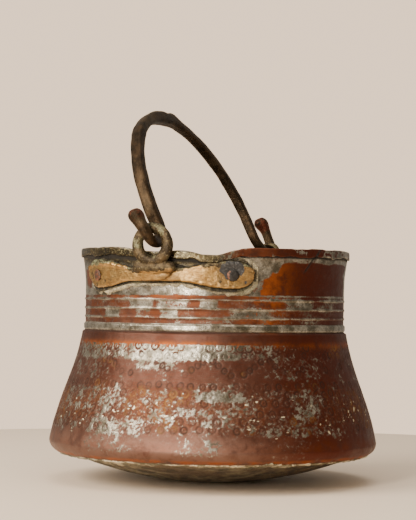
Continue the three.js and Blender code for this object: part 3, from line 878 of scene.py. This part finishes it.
# A rivet's section from its tail to its head: (radius, out from the neck).
RIVET_SECTION = ((2.0, -2.9), (4.4, -2.85), (5.1, -2.5), (5.15, -2.1), (4.9, -1.75), (2.6, -1.7),
                 (2.6, 4.7), (3.9, 4.85), (4.4, 5.1), (4.35, 5.5), (3.6, 5.85), (2.2, 6.05), (1.0, 6.1))


def build_rivet(name, lug_azimuth, side, seed):
    """A rivet: a hammered head outside and a flat tail inside the vessel."""
    azimuth = lug_azimuth + side * RIVET_ANGLE
    slope = float(neck_surface(azimuth, PLATE_HEIGHT + 0.5) - neck_surface(azimuth, PLATE_HEIGHT)) * 2
    seat = around(azimuth, neck_surface(azimuth, PLATE_HEIGHT), PLATE_HEIGHT)
    turn = math.radians(azimuth)
    outward = Vector((math.sin(turn), -math.cos(turn), -slope)).normalized()
    turns = full_turn(56)
    grid, blackened = [], []
    spin = Vector((0, 0, 1)).rotation_difference(outward).to_matrix()
    for radius, along in RIVET_SECTION:
        local = np.stack([radius * np.cos(turns), radius * np.sin(turns), along + 0 * turns], -1)
        # The right rivets are painted dark as shade in their recess, all but a crescent of the head's rim.
        bare = bell(turn_between(np.degrees(turns), 205), 0, 60) * bell(radius, 3.7, 1.1)
        blackened.append((side > 0) * (1 - bare))
        dents = 0.16 * noise(local + 50.0 * seed, 2.4, seed)
        local[:, 2] += dents * (1 if along > 0 else -1)
        local[:, :2] *= (1 + 0.05 * noise(local + 31.0, 3.0, seed + 1))[:, None]
        grid.append(local @ np.array(spin).T + seat)
    piece = grid_mesh(name, np.stack(grid), pole_first=True, pole_last=True)
    set_masks(piece, burnt=np.stack(blackened))
    return piece


# The bail.

def hook_stations(rise, slim, swing_out):
    """One end of the bail, from its knob in to the foot of its arm.

    Each is (out along Y, above the pivot, half size in the plane, half size across it,
    squareness, offset square to the plane).
    """
    arm = RING_PLANE - ARM_INSET
    end = RING_PLANE + RING_DEPTH / 2 + 1.2 + HOOK_RADIUS
    shaft = 4.75 if slim == 1 else 4.2
    return [(end - 0.3, rise + 5.6, 1.9, 1.9, 0, -0.5), (end - 0.3, rise + 5.2, 4.0, 4.0, 0, -0.5),
            (end - 0.3, rise + 4.0, 5.4, 5.4, 0, -0.4), (end - 0.2, rise + 2.0, 6.0, 6.2, 0.1, -0.3),
            (end - 0.1, rise - 0.6, 6.1, 6.3, 0.3, 0.0), (end, rise - 3.0, 5.7, 5.9, 0.4, 0.3),
            (end, rise - 5.0, 4.7, 4.8, 0.3, 0.6), (end, rise - 8.0, shaft, shaft + 0.1, 0.3, 1.0),
            (end, rise * 0.5, shaft, shaft, 0.2, swing_out), (end - 0.4, 8.0, 4.3, 4.4, 0.1, swing_out),
            (end - 1.6, 4.3, 4.15, 4.15, 0, swing_out), (end - 4.1, 1.2, 4.0, 4.0, 0, swing_out),
            (RING_PLANE + 2, 0.1, 3.9, 3.9, 0, swing_out),
            (RING_PLANE - 4, 0, 3.9, 3.9, 0, 0.6 * swing_out),
            (RING_PLANE - 10.5, 0.8, 3.9, 3.9, 0, 0.5 * swing_out),
            (arm + 7, 2.9, 4.1, 4.1, 0.1, 0.5 * swing_out),
            (arm + 3.6, 5.6, 4.3, 4.4, 0.3, 0.3 * swing_out),
            (arm + 1.2, 9.6, 4.7 * slim, 4.9 * slim, 0.5, 0), (arm, 14.0, 5.0 * slim, 5.4 * slim, 0.6, 0),
            (arm - 0.3, 19.0, 5.1 * slim, 5.6 * slim, 0.7, 0)]


def bail_stations():
    """The bail's centre line from the front knob to the rear one."""
    arm = RING_PLANE - ARM_INSET
    arch = []
    for turn in np.linspace(0, math.pi, 61):
        y = -arm * math.cos(turn)
        slim = 1 - (1 - REAR_SLIMNESS) * float(ramp(y, -60, 60))
        boss = 0.62 * BOSS_HEIGHT * bell(y, BOSS_PLACE, 5) * math.sin(turn)
        height = ARCH_BASE + (BAIL_RISE - ARCH_BASE) * math.sin(turn) + boss
        in_plane = 5.2 * slim * (1 + CREST_SWELL * bell(y, 0, 22)) + boss
        arch.append((y, height, in_plane, 5.6 * slim, 0.8, 0))
    front = [(-out, *rest) for out, *rest in hook_stations(22.8, 1.0, 2.0)]
    rear = hook_stations(28.5, REAR_SLIMNESS, 0.4)[::-1]
    return np.array(front + arch + rear)


def build_bail():
    stations = bail_stations()
    steps = np.hypot(np.diff(stations[:, 0]), np.diff(stations[:, 1]))
    length = np.concatenate([[0], np.cumsum(steps)])
    fine = np.linspace(0, length[-1], 620)
    samples = smooth_samples(length, stations, fine)
    along = np.gradient(samples[:, :2], axis=0)
    along /= np.linalg.norm(along, axis=1)[:, None]
    turn = full_turn(72)
    grid = []
    for (y, z, in_plane, across, square, offset), (ty, tz) in zip(samples, along):
        power = 1 / (1 + 0.75 * square)
        u, v = (np.sign(wave) * np.abs(wave) ** power * size
                for wave, size in ((np.cos(turn), in_plane), (np.sin(turn), across)))
        grid.append(np.stack([v + offset, y - tz * u, z + ty * u], -1))
    grid = np.stack(grid)
    middle = samples[:, :2]
    outward = grid - np.stack([samples[:, 5], middle[:, 0], middle[:, 1]], -1)[:, None]
    outward /= np.linalg.norm(outward, axis=-1)[..., None]
    flats = 0.35 * noise(grid, 15.0, 201) + 0.22 * noise(grid, 7.0, 202)
    pits = 0.06 * rough_noise(grid, 2.4, 203, 3)
    body = ramp(grid[..., 2], 8, 20)[..., None] * (np.abs(grid[..., 1:2]) < 100)
    lift = (flats + pits)[..., None] * (0.35 + 0.65 * body) - 0.3 - 0.3 * body
    grid = grid + outward * lift
    lean = math.radians(-BAIL_LEAN)
    x = grid[..., 0] * math.cos(lean) + grid[..., 2] * math.sin(lean)
    z = -grid[..., 0] * math.sin(lean) + grid[..., 2] * math.cos(lean)
    placed = np.stack([x, grid[..., 1], z + PIVOT_HEIGHT], -1)
    piece = grid_mesh("bail_bar", placed, pole_first=True, pole_last=True)
    knob = (np.abs(grid[..., 1]) > 108) * ramp(grid[..., 2], 17, 22)
    set_masks(piece, knob=knob)
    return piece


def smooth_samples(length, stations, fine):
    """Stations read at even steps along the line, rounded by a short running mean."""
    values = np.stack([np.interp(fine, length, stations[:, k]) for k in range(stations.shape[1])], 1)
    reach = 7
    kernel = np.hanning(2 * reach + 3)[1:-1]
    kernel /= kernel.sum()
    padded = np.vstack([values[:1].repeat(reach, 0), values, values[-1:].repeat(reach, 0)])
    rounded = np.stack([np.convolve(padded[:, k], kernel, "valid")
                        for k in range(values.shape[1])], 1)
    rounded[:, 2:4][[0, -1]] = values[:, 2:4][[0, -1]] * 0.5
    return rounded


# Materials.

class Look:
    """A material whose nodes are made by short calls."""

    def __init__(self, name):
        self.material = bpy.data.materials.new(name)
        self.material.use_nodes = True
        tree = self.material.node_tree
        self.nodes, self.links = tree.nodes, tree.links
        self.shader = self.nodes["Principled BSDF"]
        self.place = self.node("TexCoord").outputs["Object"]

    def put(self, socket, value):
        if isinstance(value, bpy.types.NodeSocket):
            self.links.new(value, socket)
        else:
            socket.default_value = value

    def set(self, name, value):
        self.put(self.shader.inputs[name], value)

    def node(self, kind, **inputs):
        """A node with values or sockets on its inputs, whose names have _ for a space."""
        node = self.nodes.new("ShaderNode" + kind)
        for name, value in inputs.items():
            self.put(node.inputs[name.replace("_", " ")], value)
        return node

    def mask(self, name):
        node = self.node("Attribute")
        node.attribute_name = name
        return node.outputs["Fac"]

    def noise(self, size, detail, roughness, stretch=None):
        """Noise from 0 to 1, with features of the given size in mm."""
        place = self.place
        if stretch:
            scale = self.node("VectorMath")
            scale.operation = "MULTIPLY"
            self.put(scale.inputs[0], place)
            self.put(scale.inputs[1], stretch)
            place = scale.outputs[0]
        node = self.node("TexNoise", Vector=place, Scale=1 / (size * MM), Detail=detail,
                         Roughness=roughness)
        return node.outputs["Fac"]

    def math(self, operation, a, b=0.0, clamp=False):
        node = self.node("Math")
        node.operation = operation
        node.use_clamp = clamp
        self.put(node.inputs[0], a)
        self.put(node.inputs[1], b)
        return node.outputs[0]

    def plus(self, a, b):
        return self.math("ADD", a, b)

    def times(self, a, b):
        return self.math("MULTIPLY", a, b)

    def span(self, value, low, high, to_low=0.0, to_high=1.0):
        """A smooth step from one value to another."""
        node = self.node("MapRange", Value=value)
        node.interpolation_type = "SMOOTHSTEP"
        for name, number in (("From Min", low), ("From Max", high), ("To Min", to_low), ("To Max", to_high)):
            self.put(node.inputs[name], number)
        return node.outputs["Result"]

    def broken(self, name, grain, low, high, least=0.0, most=1.0):
        """A stored mask, broken up by a grain."""
        return self.times(self.mask(name), self.span(grain, low, high, least, most))

    def mix(self, share, a, b, kind="VALUE"):
        """Part a and part b, by a share: numbers, or colours where the kind is RGBA."""
        node = self.node("Mix")
        node.data_type = "RGBA" if kind == "RGBA" else "FLOAT"
        self.put(node.inputs["Factor"], share)
        ends = [s for s in node.inputs if s.type == kind and s.name in ("A", "B")]
        for socket, value in zip(ends, (a, b)):
            self.put(socket, value)
        return [s for s in node.outputs if s.type == kind][0]

    def blend(self, share, a, b):
        """One colour over another. A colour is a socket, three numbers or a name in the palette."""
        colours = [PALETTE[value] if isinstance(value, str) else value for value in (a, b)]
        return self.mix(share, *((*c, 1) if isinstance(c, tuple) else c for c in colours), kind="RGBA")

    def layer(self, under, value, low, high, colour, most=1.0):
        """A colour laid over another where a value is high."""
        return self.blend(self.span(value, low, high, 0, most), under, colour)

    def finish(self, colour, metallic, roughness, height, depth):
        self.set("Base Color", colour)
        self.set("Metallic", metallic)
        self.set("Roughness", roughness)
        self.bump(height, depth)
        return self.material

    def bump(self, height, distance):
        """Bump from a height of 0 to 1 that stands for a distance in mm."""
        node = self.node("Bump", Strength=1.0, Distance=distance * MM, Height=height)
        self.set("Normal", node.outputs["Normal"])


PALETTE = {
    "rose": (0.097, 0.042, 0.027), "brown": (0.062, 0.021, 0.011), "red": (0.10, 0.015, 0.003),
    "deep": (0.075, 0.011, 0.002), "orange": (0.32, 0.075, 0.008), "pink": (0.21, 0.118, 0.085),
    "ochre": (0.34, 0.16, 0.035), "cream": (0.62, 0.53, 0.36), "soot": (0.012, 0.009, 0.006),
    "groove": (0.022, 0.009, 0.004), "tin light": (0.44, 0.40, 0.32),
    "tin dark": (0.11, 0.092, 0.062), "tin film": (0.19, 0.145, 0.115),
    "tin speck": (0.05, 0.038, 0.024), "lining": (0.24, 0.225, 0.185),
    "lining dull": (0.14, 0.12, 0.09), "lining red": (0.2, 0.09, 0.05),
    "patina": (0.03, 0.022, 0.01), "patina worn": (0.085, 0.062, 0.028),
    "patina pale": (0.34, 0.28, 0.15),
    "pan": (0.4, 0.34, 0.215), "pan brown": (0.2, 0.14, 0.08), "pan green": (0.2, 0.2, 0.13),
    "pan pale": (0.36, 0.32, 0.22), "pan soot": (0.035, 0.028, 0.02),
    "pan lining": (0.15, 0.13, 0.1), "pan lining red": (0.17, 0.1, 0.062),
    "solder": (0.72, 0.62, 0.42), "solder worn": (0.2, 0.16, 0.085),
    "solder dark": (0.1, 0.09, 0.05), "solder pit": (0.03, 0.022, 0.012),
    "solder dull": (0.1, 0.088, 0.05),
    "crust": (0.02, 0.015, 0.008), "crust worn": (0.08, 0.062, 0.03),
    "bead": (0.55, 0.46, 0.28), "bead worn": (0.3, 0.25, 0.16), "bead pit": (0.04, 0.03, 0.016),
    "crust green": (0.1, 0.1, 0.055),
    "gold": (0.52, 0.32, 0.11), "gold brown": (0.33, 0.18, 0.055),
    "gold dull": (0.2, 0.125, 0.055), "gold scratch": (0.17, 0.105, 0.045),
    "gold bright": (0.55, 0.42, 0.2), "brass dark": (0.03, 0.019, 0.008),
    "brass worn": (0.085, 0.055, 0.024), "brass pale": (0.27, 0.2, 0.095),
    "green dark": (0.075, 0.08, 0.035), "green pale": (0.36, 0.36, 0.2),
    "burnt": (0.03, 0.028, 0.026), "burnt pale": (0.12, 0.11, 0.1),
    "rivet": (0.26, 0.1, 0.055), "rivet dull": (0.07, 0.05, 0.038),
    "rivet bright": (0.4, 0.19, 0.11), "rivet burnt": (0.04, 0.036, 0.032),
    "iron": (0.017, 0.01, 0.004), "iron worn": (0.052, 0.03, 0.014), "iron tan": (0.09, 0.06, 0.03),
    "iron bright": (0.16, 0.12, 0.07), "iron red": (0.09, 0.024, 0.011),
}


def tinned_copper():
    look = Look("tinned_copper")
    fine = look.noise(1.6, 5, 0.7)
    grain = look.noise(0.7, 3, 0.6)
    broad = look.noise(38, 4, 0.6)
    middle = look.noise(9, 5, 0.65)
    strokes = look.noise(5, 4, 0.6, stretch=(1, 1, 7))
    cover = look.plus(look.mask("tin"), look.times(look.plus(fine, -0.53), 2.2))
    tin = look.span(cover, 0.48, 0.52)

    copper = look.layer("rose", broad, 0.36, 0.62, "brown")
    copper = look.layer(copper, strokes, 0.45, 0.75, "red", 0.5)
    copper = look.blend(look.broken("rosy", middle, 0.3, 0.6, 0.2, 0.6), copper, "pink")
    # Deep red: partly the copper's own red, partly painted shade on the side turned from the light.
    copper = look.blend(look.broken("deep", middle, 0.2, 0.6, 0.6), copper, "deep")
    # Orange copper, with a painted highlight on the side toward the light and on the lip's lowest edge.
    copper = look.blend(look.broken("glow", middle, 0.3, 0.62), copper, "orange")
    copper = look.blend(look.broken("crust", fine, 0.52, 0.64, 0, 0.75), copper, "ochre")
    groove = look.layer("groove", broad, 0.5, 0.62, "ochre")
    copper = look.blend(look.broken("ring", middle, 0.35, 0.6, 0.15, 0.85), copper, groove)
    copper = look.layer(copper, grain, 0.66, 0.74, "tin dark", 0.55)
    copper = look.layer(copper, cover, 0.0, 0.5, "tin film", 0.3)

    grey = look.layer("tin light", middle, 0.35, 0.65, "tin dark")
    grey = look.layer(grey, fine, 0.45, 0.62, "tin dark", 0.6)
    grey = look.layer(grey, grain, 0.58, 0.7, "tin speck", 0.6)
    lining = look.layer("lining", middle, 0.3, 0.7, "lining dull")
    lining = look.layer(lining, broad, 0.5, 0.62, "lining red", 0.6)
    patina = look.layer("patina", middle, 0.4, 0.6, "patina worn")
    patina = look.layer(patina, fine, 0.52, 0.64, "patina pale", 0.85)
    # Dirt in the rings; painted shade in the crease, beside the ridges, in the slot and under the hem; and
    # darker at the lip's lowest edge, all in the near-black colour.
    grime = look.broken("grime", fine, 0.25, 0.6, 0.5)

    colour = look.blend(tin, copper, grey)
    colour = look.blend(look.mask("inside"), colour, lining)
    colour = look.blend(look.broken("patina", fine, 0.3, 0.5, 0.7), colour, patina)
    colour = look.blend(look.math("MINIMUM", grime, 0.95), colour, "soot")
    # Cream chips and scars, and a painted highlight on the rim's edge.
    colour = look.layer(colour, look.broken("chip", grain, 0.35, 0.6, 0.5), 0.25, 0.5, "cream")

    dulled = look.times(grime, 0.5)
    metal = look.math("SUBTRACT", look.mix(tin, 0.78, 0.9), dulled, clamp=True)
    rough = look.mix(tin, look.span(middle, 0.3, 0.7, 0.42, 0.56), look.span(fine, 0.3, 0.7, 0.24, 0.4))
    rough = look.mix(look.mask("crust"), rough, 0.5)
    rough = look.mix(look.math("MINIMUM", grime, 1.0), rough, 0.85)
    rough = look.mix(look.mask("inside"), rough, 0.6)
    height = look.plus(look.times(fine, 0.6), look.times(grain, 0.4))
    height = look.plus(height, look.times(strokes, 0.5))
    height = look.times(height, look.plus(look.mask("crust"), 0.6))
    return look.finish(colour, metal, rough, height, 0.2)


def sooty_copper():
    look = Look("sooty_copper")
    fine = look.noise(1.8, 5, 0.7)
    middle = look.noise(10, 5, 0.65)
    broad = look.noise(32, 4, 0.6)
    colour = look.layer("pan", broad, 0.4, 0.62, "pan brown")
    colour = look.layer(colour, middle, 0.52, 0.66, "pan green", 0.8)
    colour = look.layer(colour, fine, 0.6, 0.7, "pan pale", 0.6)
    soot = look.broken("soot", middle, 0.35, 0.65, 0.3, 0.9)
    colour = look.blend(soot, colour, "pan soot")
    lining = look.layer("lining", middle, 0.3, 0.7, "pan lining")
    lining = look.layer(lining, broad, 0.5, 0.66, "pan lining red", 0.5)
    colour = look.blend(look.mask("inside"), colour, lining)
    rough = look.mix(soot, look.span(fine, 0.3, 0.7, 0.45, 0.7), 0.85)
    height = look.plus(fine, look.times(middle, 0.7))
    return look.finish(colour, look.mix(soot, 0.75, 0.1), rough, height, 0.5)


def wiped_solder():
    look = Look("wiped_solder")
    fine = look.noise(1.1, 5, 0.75)
    middle = look.noise(6, 5, 0.65)
    broad = look.noise(26, 3, 0.6)
    colour = look.layer("solder", middle, 0.44, 0.6, "solder worn")
    colour = look.layer(colour, broad, 0.5, 0.6, "solder dark", 0.8)
    colour = look.layer(colour, fine, 0.55, 0.66, "solder pit", 0.9)
    colour = look.blend(look.broken("dull", middle, 0.3, 0.6, 0.5, 0.95), colour, "solder dull")
    return look.finish(colour, 0.45, look.span(fine, 0.3, 0.7, 0.4, 0.72), look.plus(fine, middle), 0.5)


def crusted_solder():
    look = Look("crusted_solder")
    fine = look.noise(0.9, 5, 0.75)
    middle = look.noise(4.5, 5, 0.7)
    broad = look.noise(22, 3, 0.6)
    dark = look.layer("crust", middle, 0.45, 0.6, "crust worn")
    pale = look.layer("bead", middle, 0.4, 0.58, "bead worn")
    pale = look.layer(pale, fine, 0.52, 0.64, "bead pit", 0.9)
    reach = look.plus(look.mask("margin"), look.times(fine, 0.75))
    # Dark crust next to and above the plate: partly crust, partly painted shadow under the hem and beside the
    # plate's edge.
    colour = look.layer(dark, reach, 0.62, 0.76, pale)
    colour = look.layer(colour, broad, 0.55, 0.65, "crust green", 0.5)
    return look.finish(colour, 0.35, look.span(fine, 0.3, 0.7, 0.45, 0.8), look.plus(fine, middle), 0.7)


def worn_brass():
    look = Look("worn_brass")
    fine = look.noise(1.2, 5, 0.7)
    middle = look.noise(6, 5, 0.65)
    scratches = look.noise(2.2, 4, 0.6, stretch=(0.5, 0.5, 2.5))
    broad = look.noise(15, 4, 0.6)
    gold = look.layer("gold", middle, 0.35, 0.65, "gold brown")
    gold = look.layer(gold, broad, 0.46, 0.66, "gold dull", 0.75)
    gold = look.layer(gold, scratches, 0.48, 0.64, "gold scratch", 0.7)
    gold = look.layer(gold, fine, 0.56, 0.7, "gold bright", 0.5)
    dark = look.layer("brass dark", middle, 0.4, 0.6, "brass worn")
    dark = look.layer(dark, fine, 0.54, 0.67, "brass pale", 0.6)
    green = look.layer("green dark", fine, 0.4, 0.62, "green pale")
    dark = look.blend(look.broken("green", middle, 0.42, 0.56), dark, green)
    edge = look.times(look.plus(fine, -0.5), 0.5)
    worn = look.span(look.plus(look.mask("worn"), edge), 0.42, 0.58)
    # Painted shade in the recess round the right rivet.
    burnt = look.span(look.plus(look.mask("burnt"), edge), 0.45, 0.55)
    colour = look.blend(worn, dark, gold)
    colour = look.blend(burnt, colour, look.layer("burnt", fine, 0.5, 0.68, "burnt pale"))
    metal = look.mix(burnt, look.mix(worn, 0.7, 0.9), 0.3)
    rough = look.mix(worn, look.span(fine, 0.3, 0.7, 0.4, 0.65), look.span(middle, 0.3, 0.7, 0.3, 0.42))
    height = look.plus(fine, look.times(scratches, 0.6))
    return look.finish(colour, metal, look.mix(burnt, rough, 0.6), height, 0.22)


def rivet_copper():
    look = Look("rivet_copper")
    fine = look.noise(0.9, 5, 0.7)
    middle = look.noise(3.2, 4, 0.6)
    colour = look.layer("rivet", middle, 0.4, 0.6, "rivet dull")
    colour = look.layer(colour, fine, 0.55, 0.7, "rivet bright", 0.7)
    # The right rivet's head is painted dark as shade in its recess.
    colour = look.layer(colour, look.mask("burnt"), 0.3, 0.7, "rivet burnt")
    return look.finish(colour, 0.8, look.span(fine, 0.3, 0.7, 0.35, 0.6), look.plus(fine, middle), 0.25)


def forged_iron():
    look = Look("forged_bar")
    fine = look.noise(1.3, 5, 0.7)
    middle = look.noise(8, 5, 0.65)
    broad = look.noise(30, 3, 0.6)
    colour = look.layer("iron", middle, 0.38, 0.62, "iron worn")
    colour = look.layer(colour, broad, 0.5, 0.68, "iron tan", 0.5)
    colour = look.layer(colour, fine, 0.57, 0.7, "iron bright", 0.5)
    colour = look.blend(look.broken("knob", middle, 0.38, 0.54), colour, "iron red")
    look.set("Specular IOR Level", 0.25)
    height = look.plus(fine, look.times(middle, 0.8))
    return look.finish(colour, 0.75, look.span(fine, 0.3, 0.7, 0.36, 0.56), height, 0.35)


def pale_floor():
    look = Look("floor_white")
    shade = look.span(look.noise(180, 2, 0.5), 0.3, 0.7)
    look.set("Base Color", look.blend(shade, FLOOR_COLOUR, tuple(c * 0.985 for c in FLOOR_COLOUR)))
    look.set("Roughness", 0.5)
    return look.material


# The camera, the floor and the light.

VIEW_AZIMUTH = 24.5
CAMERA_DISTANCE = 1408.0
CAMERA_HEIGHT = 139.9
AIM_HEIGHT = 174.3
AIM_LEFT = 5.8
CAMERA_ROLL = 0.8
LENS = 122.2

# The floor: (radius, height) from its middle to its edge.
FLOOR_SECTION = ((1, -0.1), (150, -0.1), (300, -0.1), (420, -0.1), (520, -0.1), (560, -0.1),
                 (575, -1.5), (580, -6), (580, -20), (575, -24))
FLOOR_COLOUR = (0.90, 0.74, 0.57)

# The surround that lights the object and the one that the camera sees: (colour, strength).
SURROUND = ((1.0, 0.88, 0.74), 0.42)
WALL_SEEN = ((1.0, 0.75, 0.53), 1.65)

# The lights: (name, azimuth from the camera's, elevation, distance in m, width, height, power, colour).
LIGHTS = (
    ("window", -25, 12, 2.2, 0.26, 1.5, 55, (1.0, 0.93, 0.84)),
    ("key", -62, 30, 1.9, 1.2, 1.2, 44, (1.0, 0.92, 0.82)),
    ("top", 10, 78, 1.8, 1.4, 1.4, 22, (1.0, 0.92, 0.82)),
)
LIT_HEIGHT = 0.12


def build_camera():
    turn = math.radians(VIEW_AZIMUTH)
    back = Vector((math.sin(turn), -math.cos(turn), 0))
    right = Vector((math.cos(turn), math.sin(turn), 0))
    data = bpy.data.cameras.new("camera")
    data.lens = LENS
    data.clip_start, data.clip_end = 0.05, 50
    camera = in_scene("camera", data)
    camera.location = (back * CAMERA_DISTANCE + Vector((0, 0, CAMERA_HEIGHT))) * MM
    aim = (right * -AIM_LEFT + Vector((0, 0, AIM_HEIGHT))) * MM
    camera.rotation_euler = (aim - camera.location).to_track_quat("-Z", "Y").to_euler()
    camera.rotation_euler.rotate_axis("Z", math.radians(CAMERA_ROLL))
    bpy.context.scene.camera = camera


def build_floor():
    """A pale round floor, and a plain warm surround."""
    azimuth = full_circle(192)
    grid = np.stack([around(azimuth, radius, height) for radius, height in FLOOR_SECTION])
    floor = grid_mesh("floor", grid[::-1], pole_last=True)
    floor.data.materials.append(pale_floor())
    world = bpy.data.worlds.new("surround")
    bpy.context.scene.world = world
    world.use_nodes = True
    nodes, links = world.node_tree.nodes, world.node_tree.links
    surround, wall = nodes["Background"], nodes.new("ShaderNodeBackground")
    for background, (colour, strength) in ((surround, SURROUND), (wall, WALL_SEEN)):
        background.inputs["Color"].default_value = (*colour, 1)
        background.inputs["Strength"].default_value = strength
    seen = nodes.new("ShaderNodeLightPath")
    choice = nodes.new("ShaderNodeMixShader")
    links.new(seen.outputs["Is Camera Ray"], choice.inputs["Fac"])
    links.new(surround.outputs[0], choice.inputs[1])
    links.new(wall.outputs[0], choice.inputs[2])
    links.new(choice.outputs[0], nodes["World Output"].inputs["Surface"])


def area_light(name, azimuth, elevation, distance, width, height, power, colour):
    """A soft box that faces the middle of the vessel."""
    turn, tilt = math.radians(VIEW_AZIMUTH + azimuth), math.radians(elevation)
    back = Vector((math.sin(turn) * math.cos(tilt), -math.cos(turn) * math.cos(tilt), math.sin(tilt)))
    data = bpy.data.lights.new(name, "AREA")
    data.shape = "RECTANGLE"
    data.size, data.size_y = width, height
    data.energy = power
    data.color = colour
    light = in_scene(name, data)
    light.location = Vector((0, 0, LIT_HEIGHT)) + back * distance
    light.rotation_euler = (-back).to_track_quat("-Z", "Y").to_euler()


# Everything, piece by piece.

def dress(piece, material, body, slot, *nodes):
    piece.data.materials.clear()
    piece.data.materials.append(material)
    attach(piece, body)
    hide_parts(*nodes)


build_camera()
build_floor()
for light in LIGHTS:
    area_light(*light)

dress(build_body(), tinned_copper(), "vessel", "tinned_copper", "body_wall")
dress(build_pan(), sooty_copper(), "vessel", "sooty_copper", "bottom_pan")
dress(build_seam_solder(), wiped_solder(), "vessel", "tin_solder", "bottom_seam_solder")
brass, crust, copper = worn_brass(), crusted_solder(), rivet_copper()
for lug, centre, seed in (("front", 0.0, 300), ("rear", 180.0, 400)):
    dress(build_lug("lug_" + lug, centre, seed), brass, "vessel", "cast_brass", "lug_" + lug)
    bed = build_bed("bed_" + lug, centre, seed + 60)
    dress(bed, crust, "vessel", "solder_crust", "solder_bed_" + lug)
    for side, way in (("left", -1), ("right", 1)):
        node = f"rivet_{lug}_{side}"
        rivet = build_rivet(node + "_copper", centre, way, seed + way + 70)
        dress(rivet, copper, "vessel", "copper_rivet", node)
dress(build_bail(), forged_iron(), "bail", "forged_iron", "bail_handle")
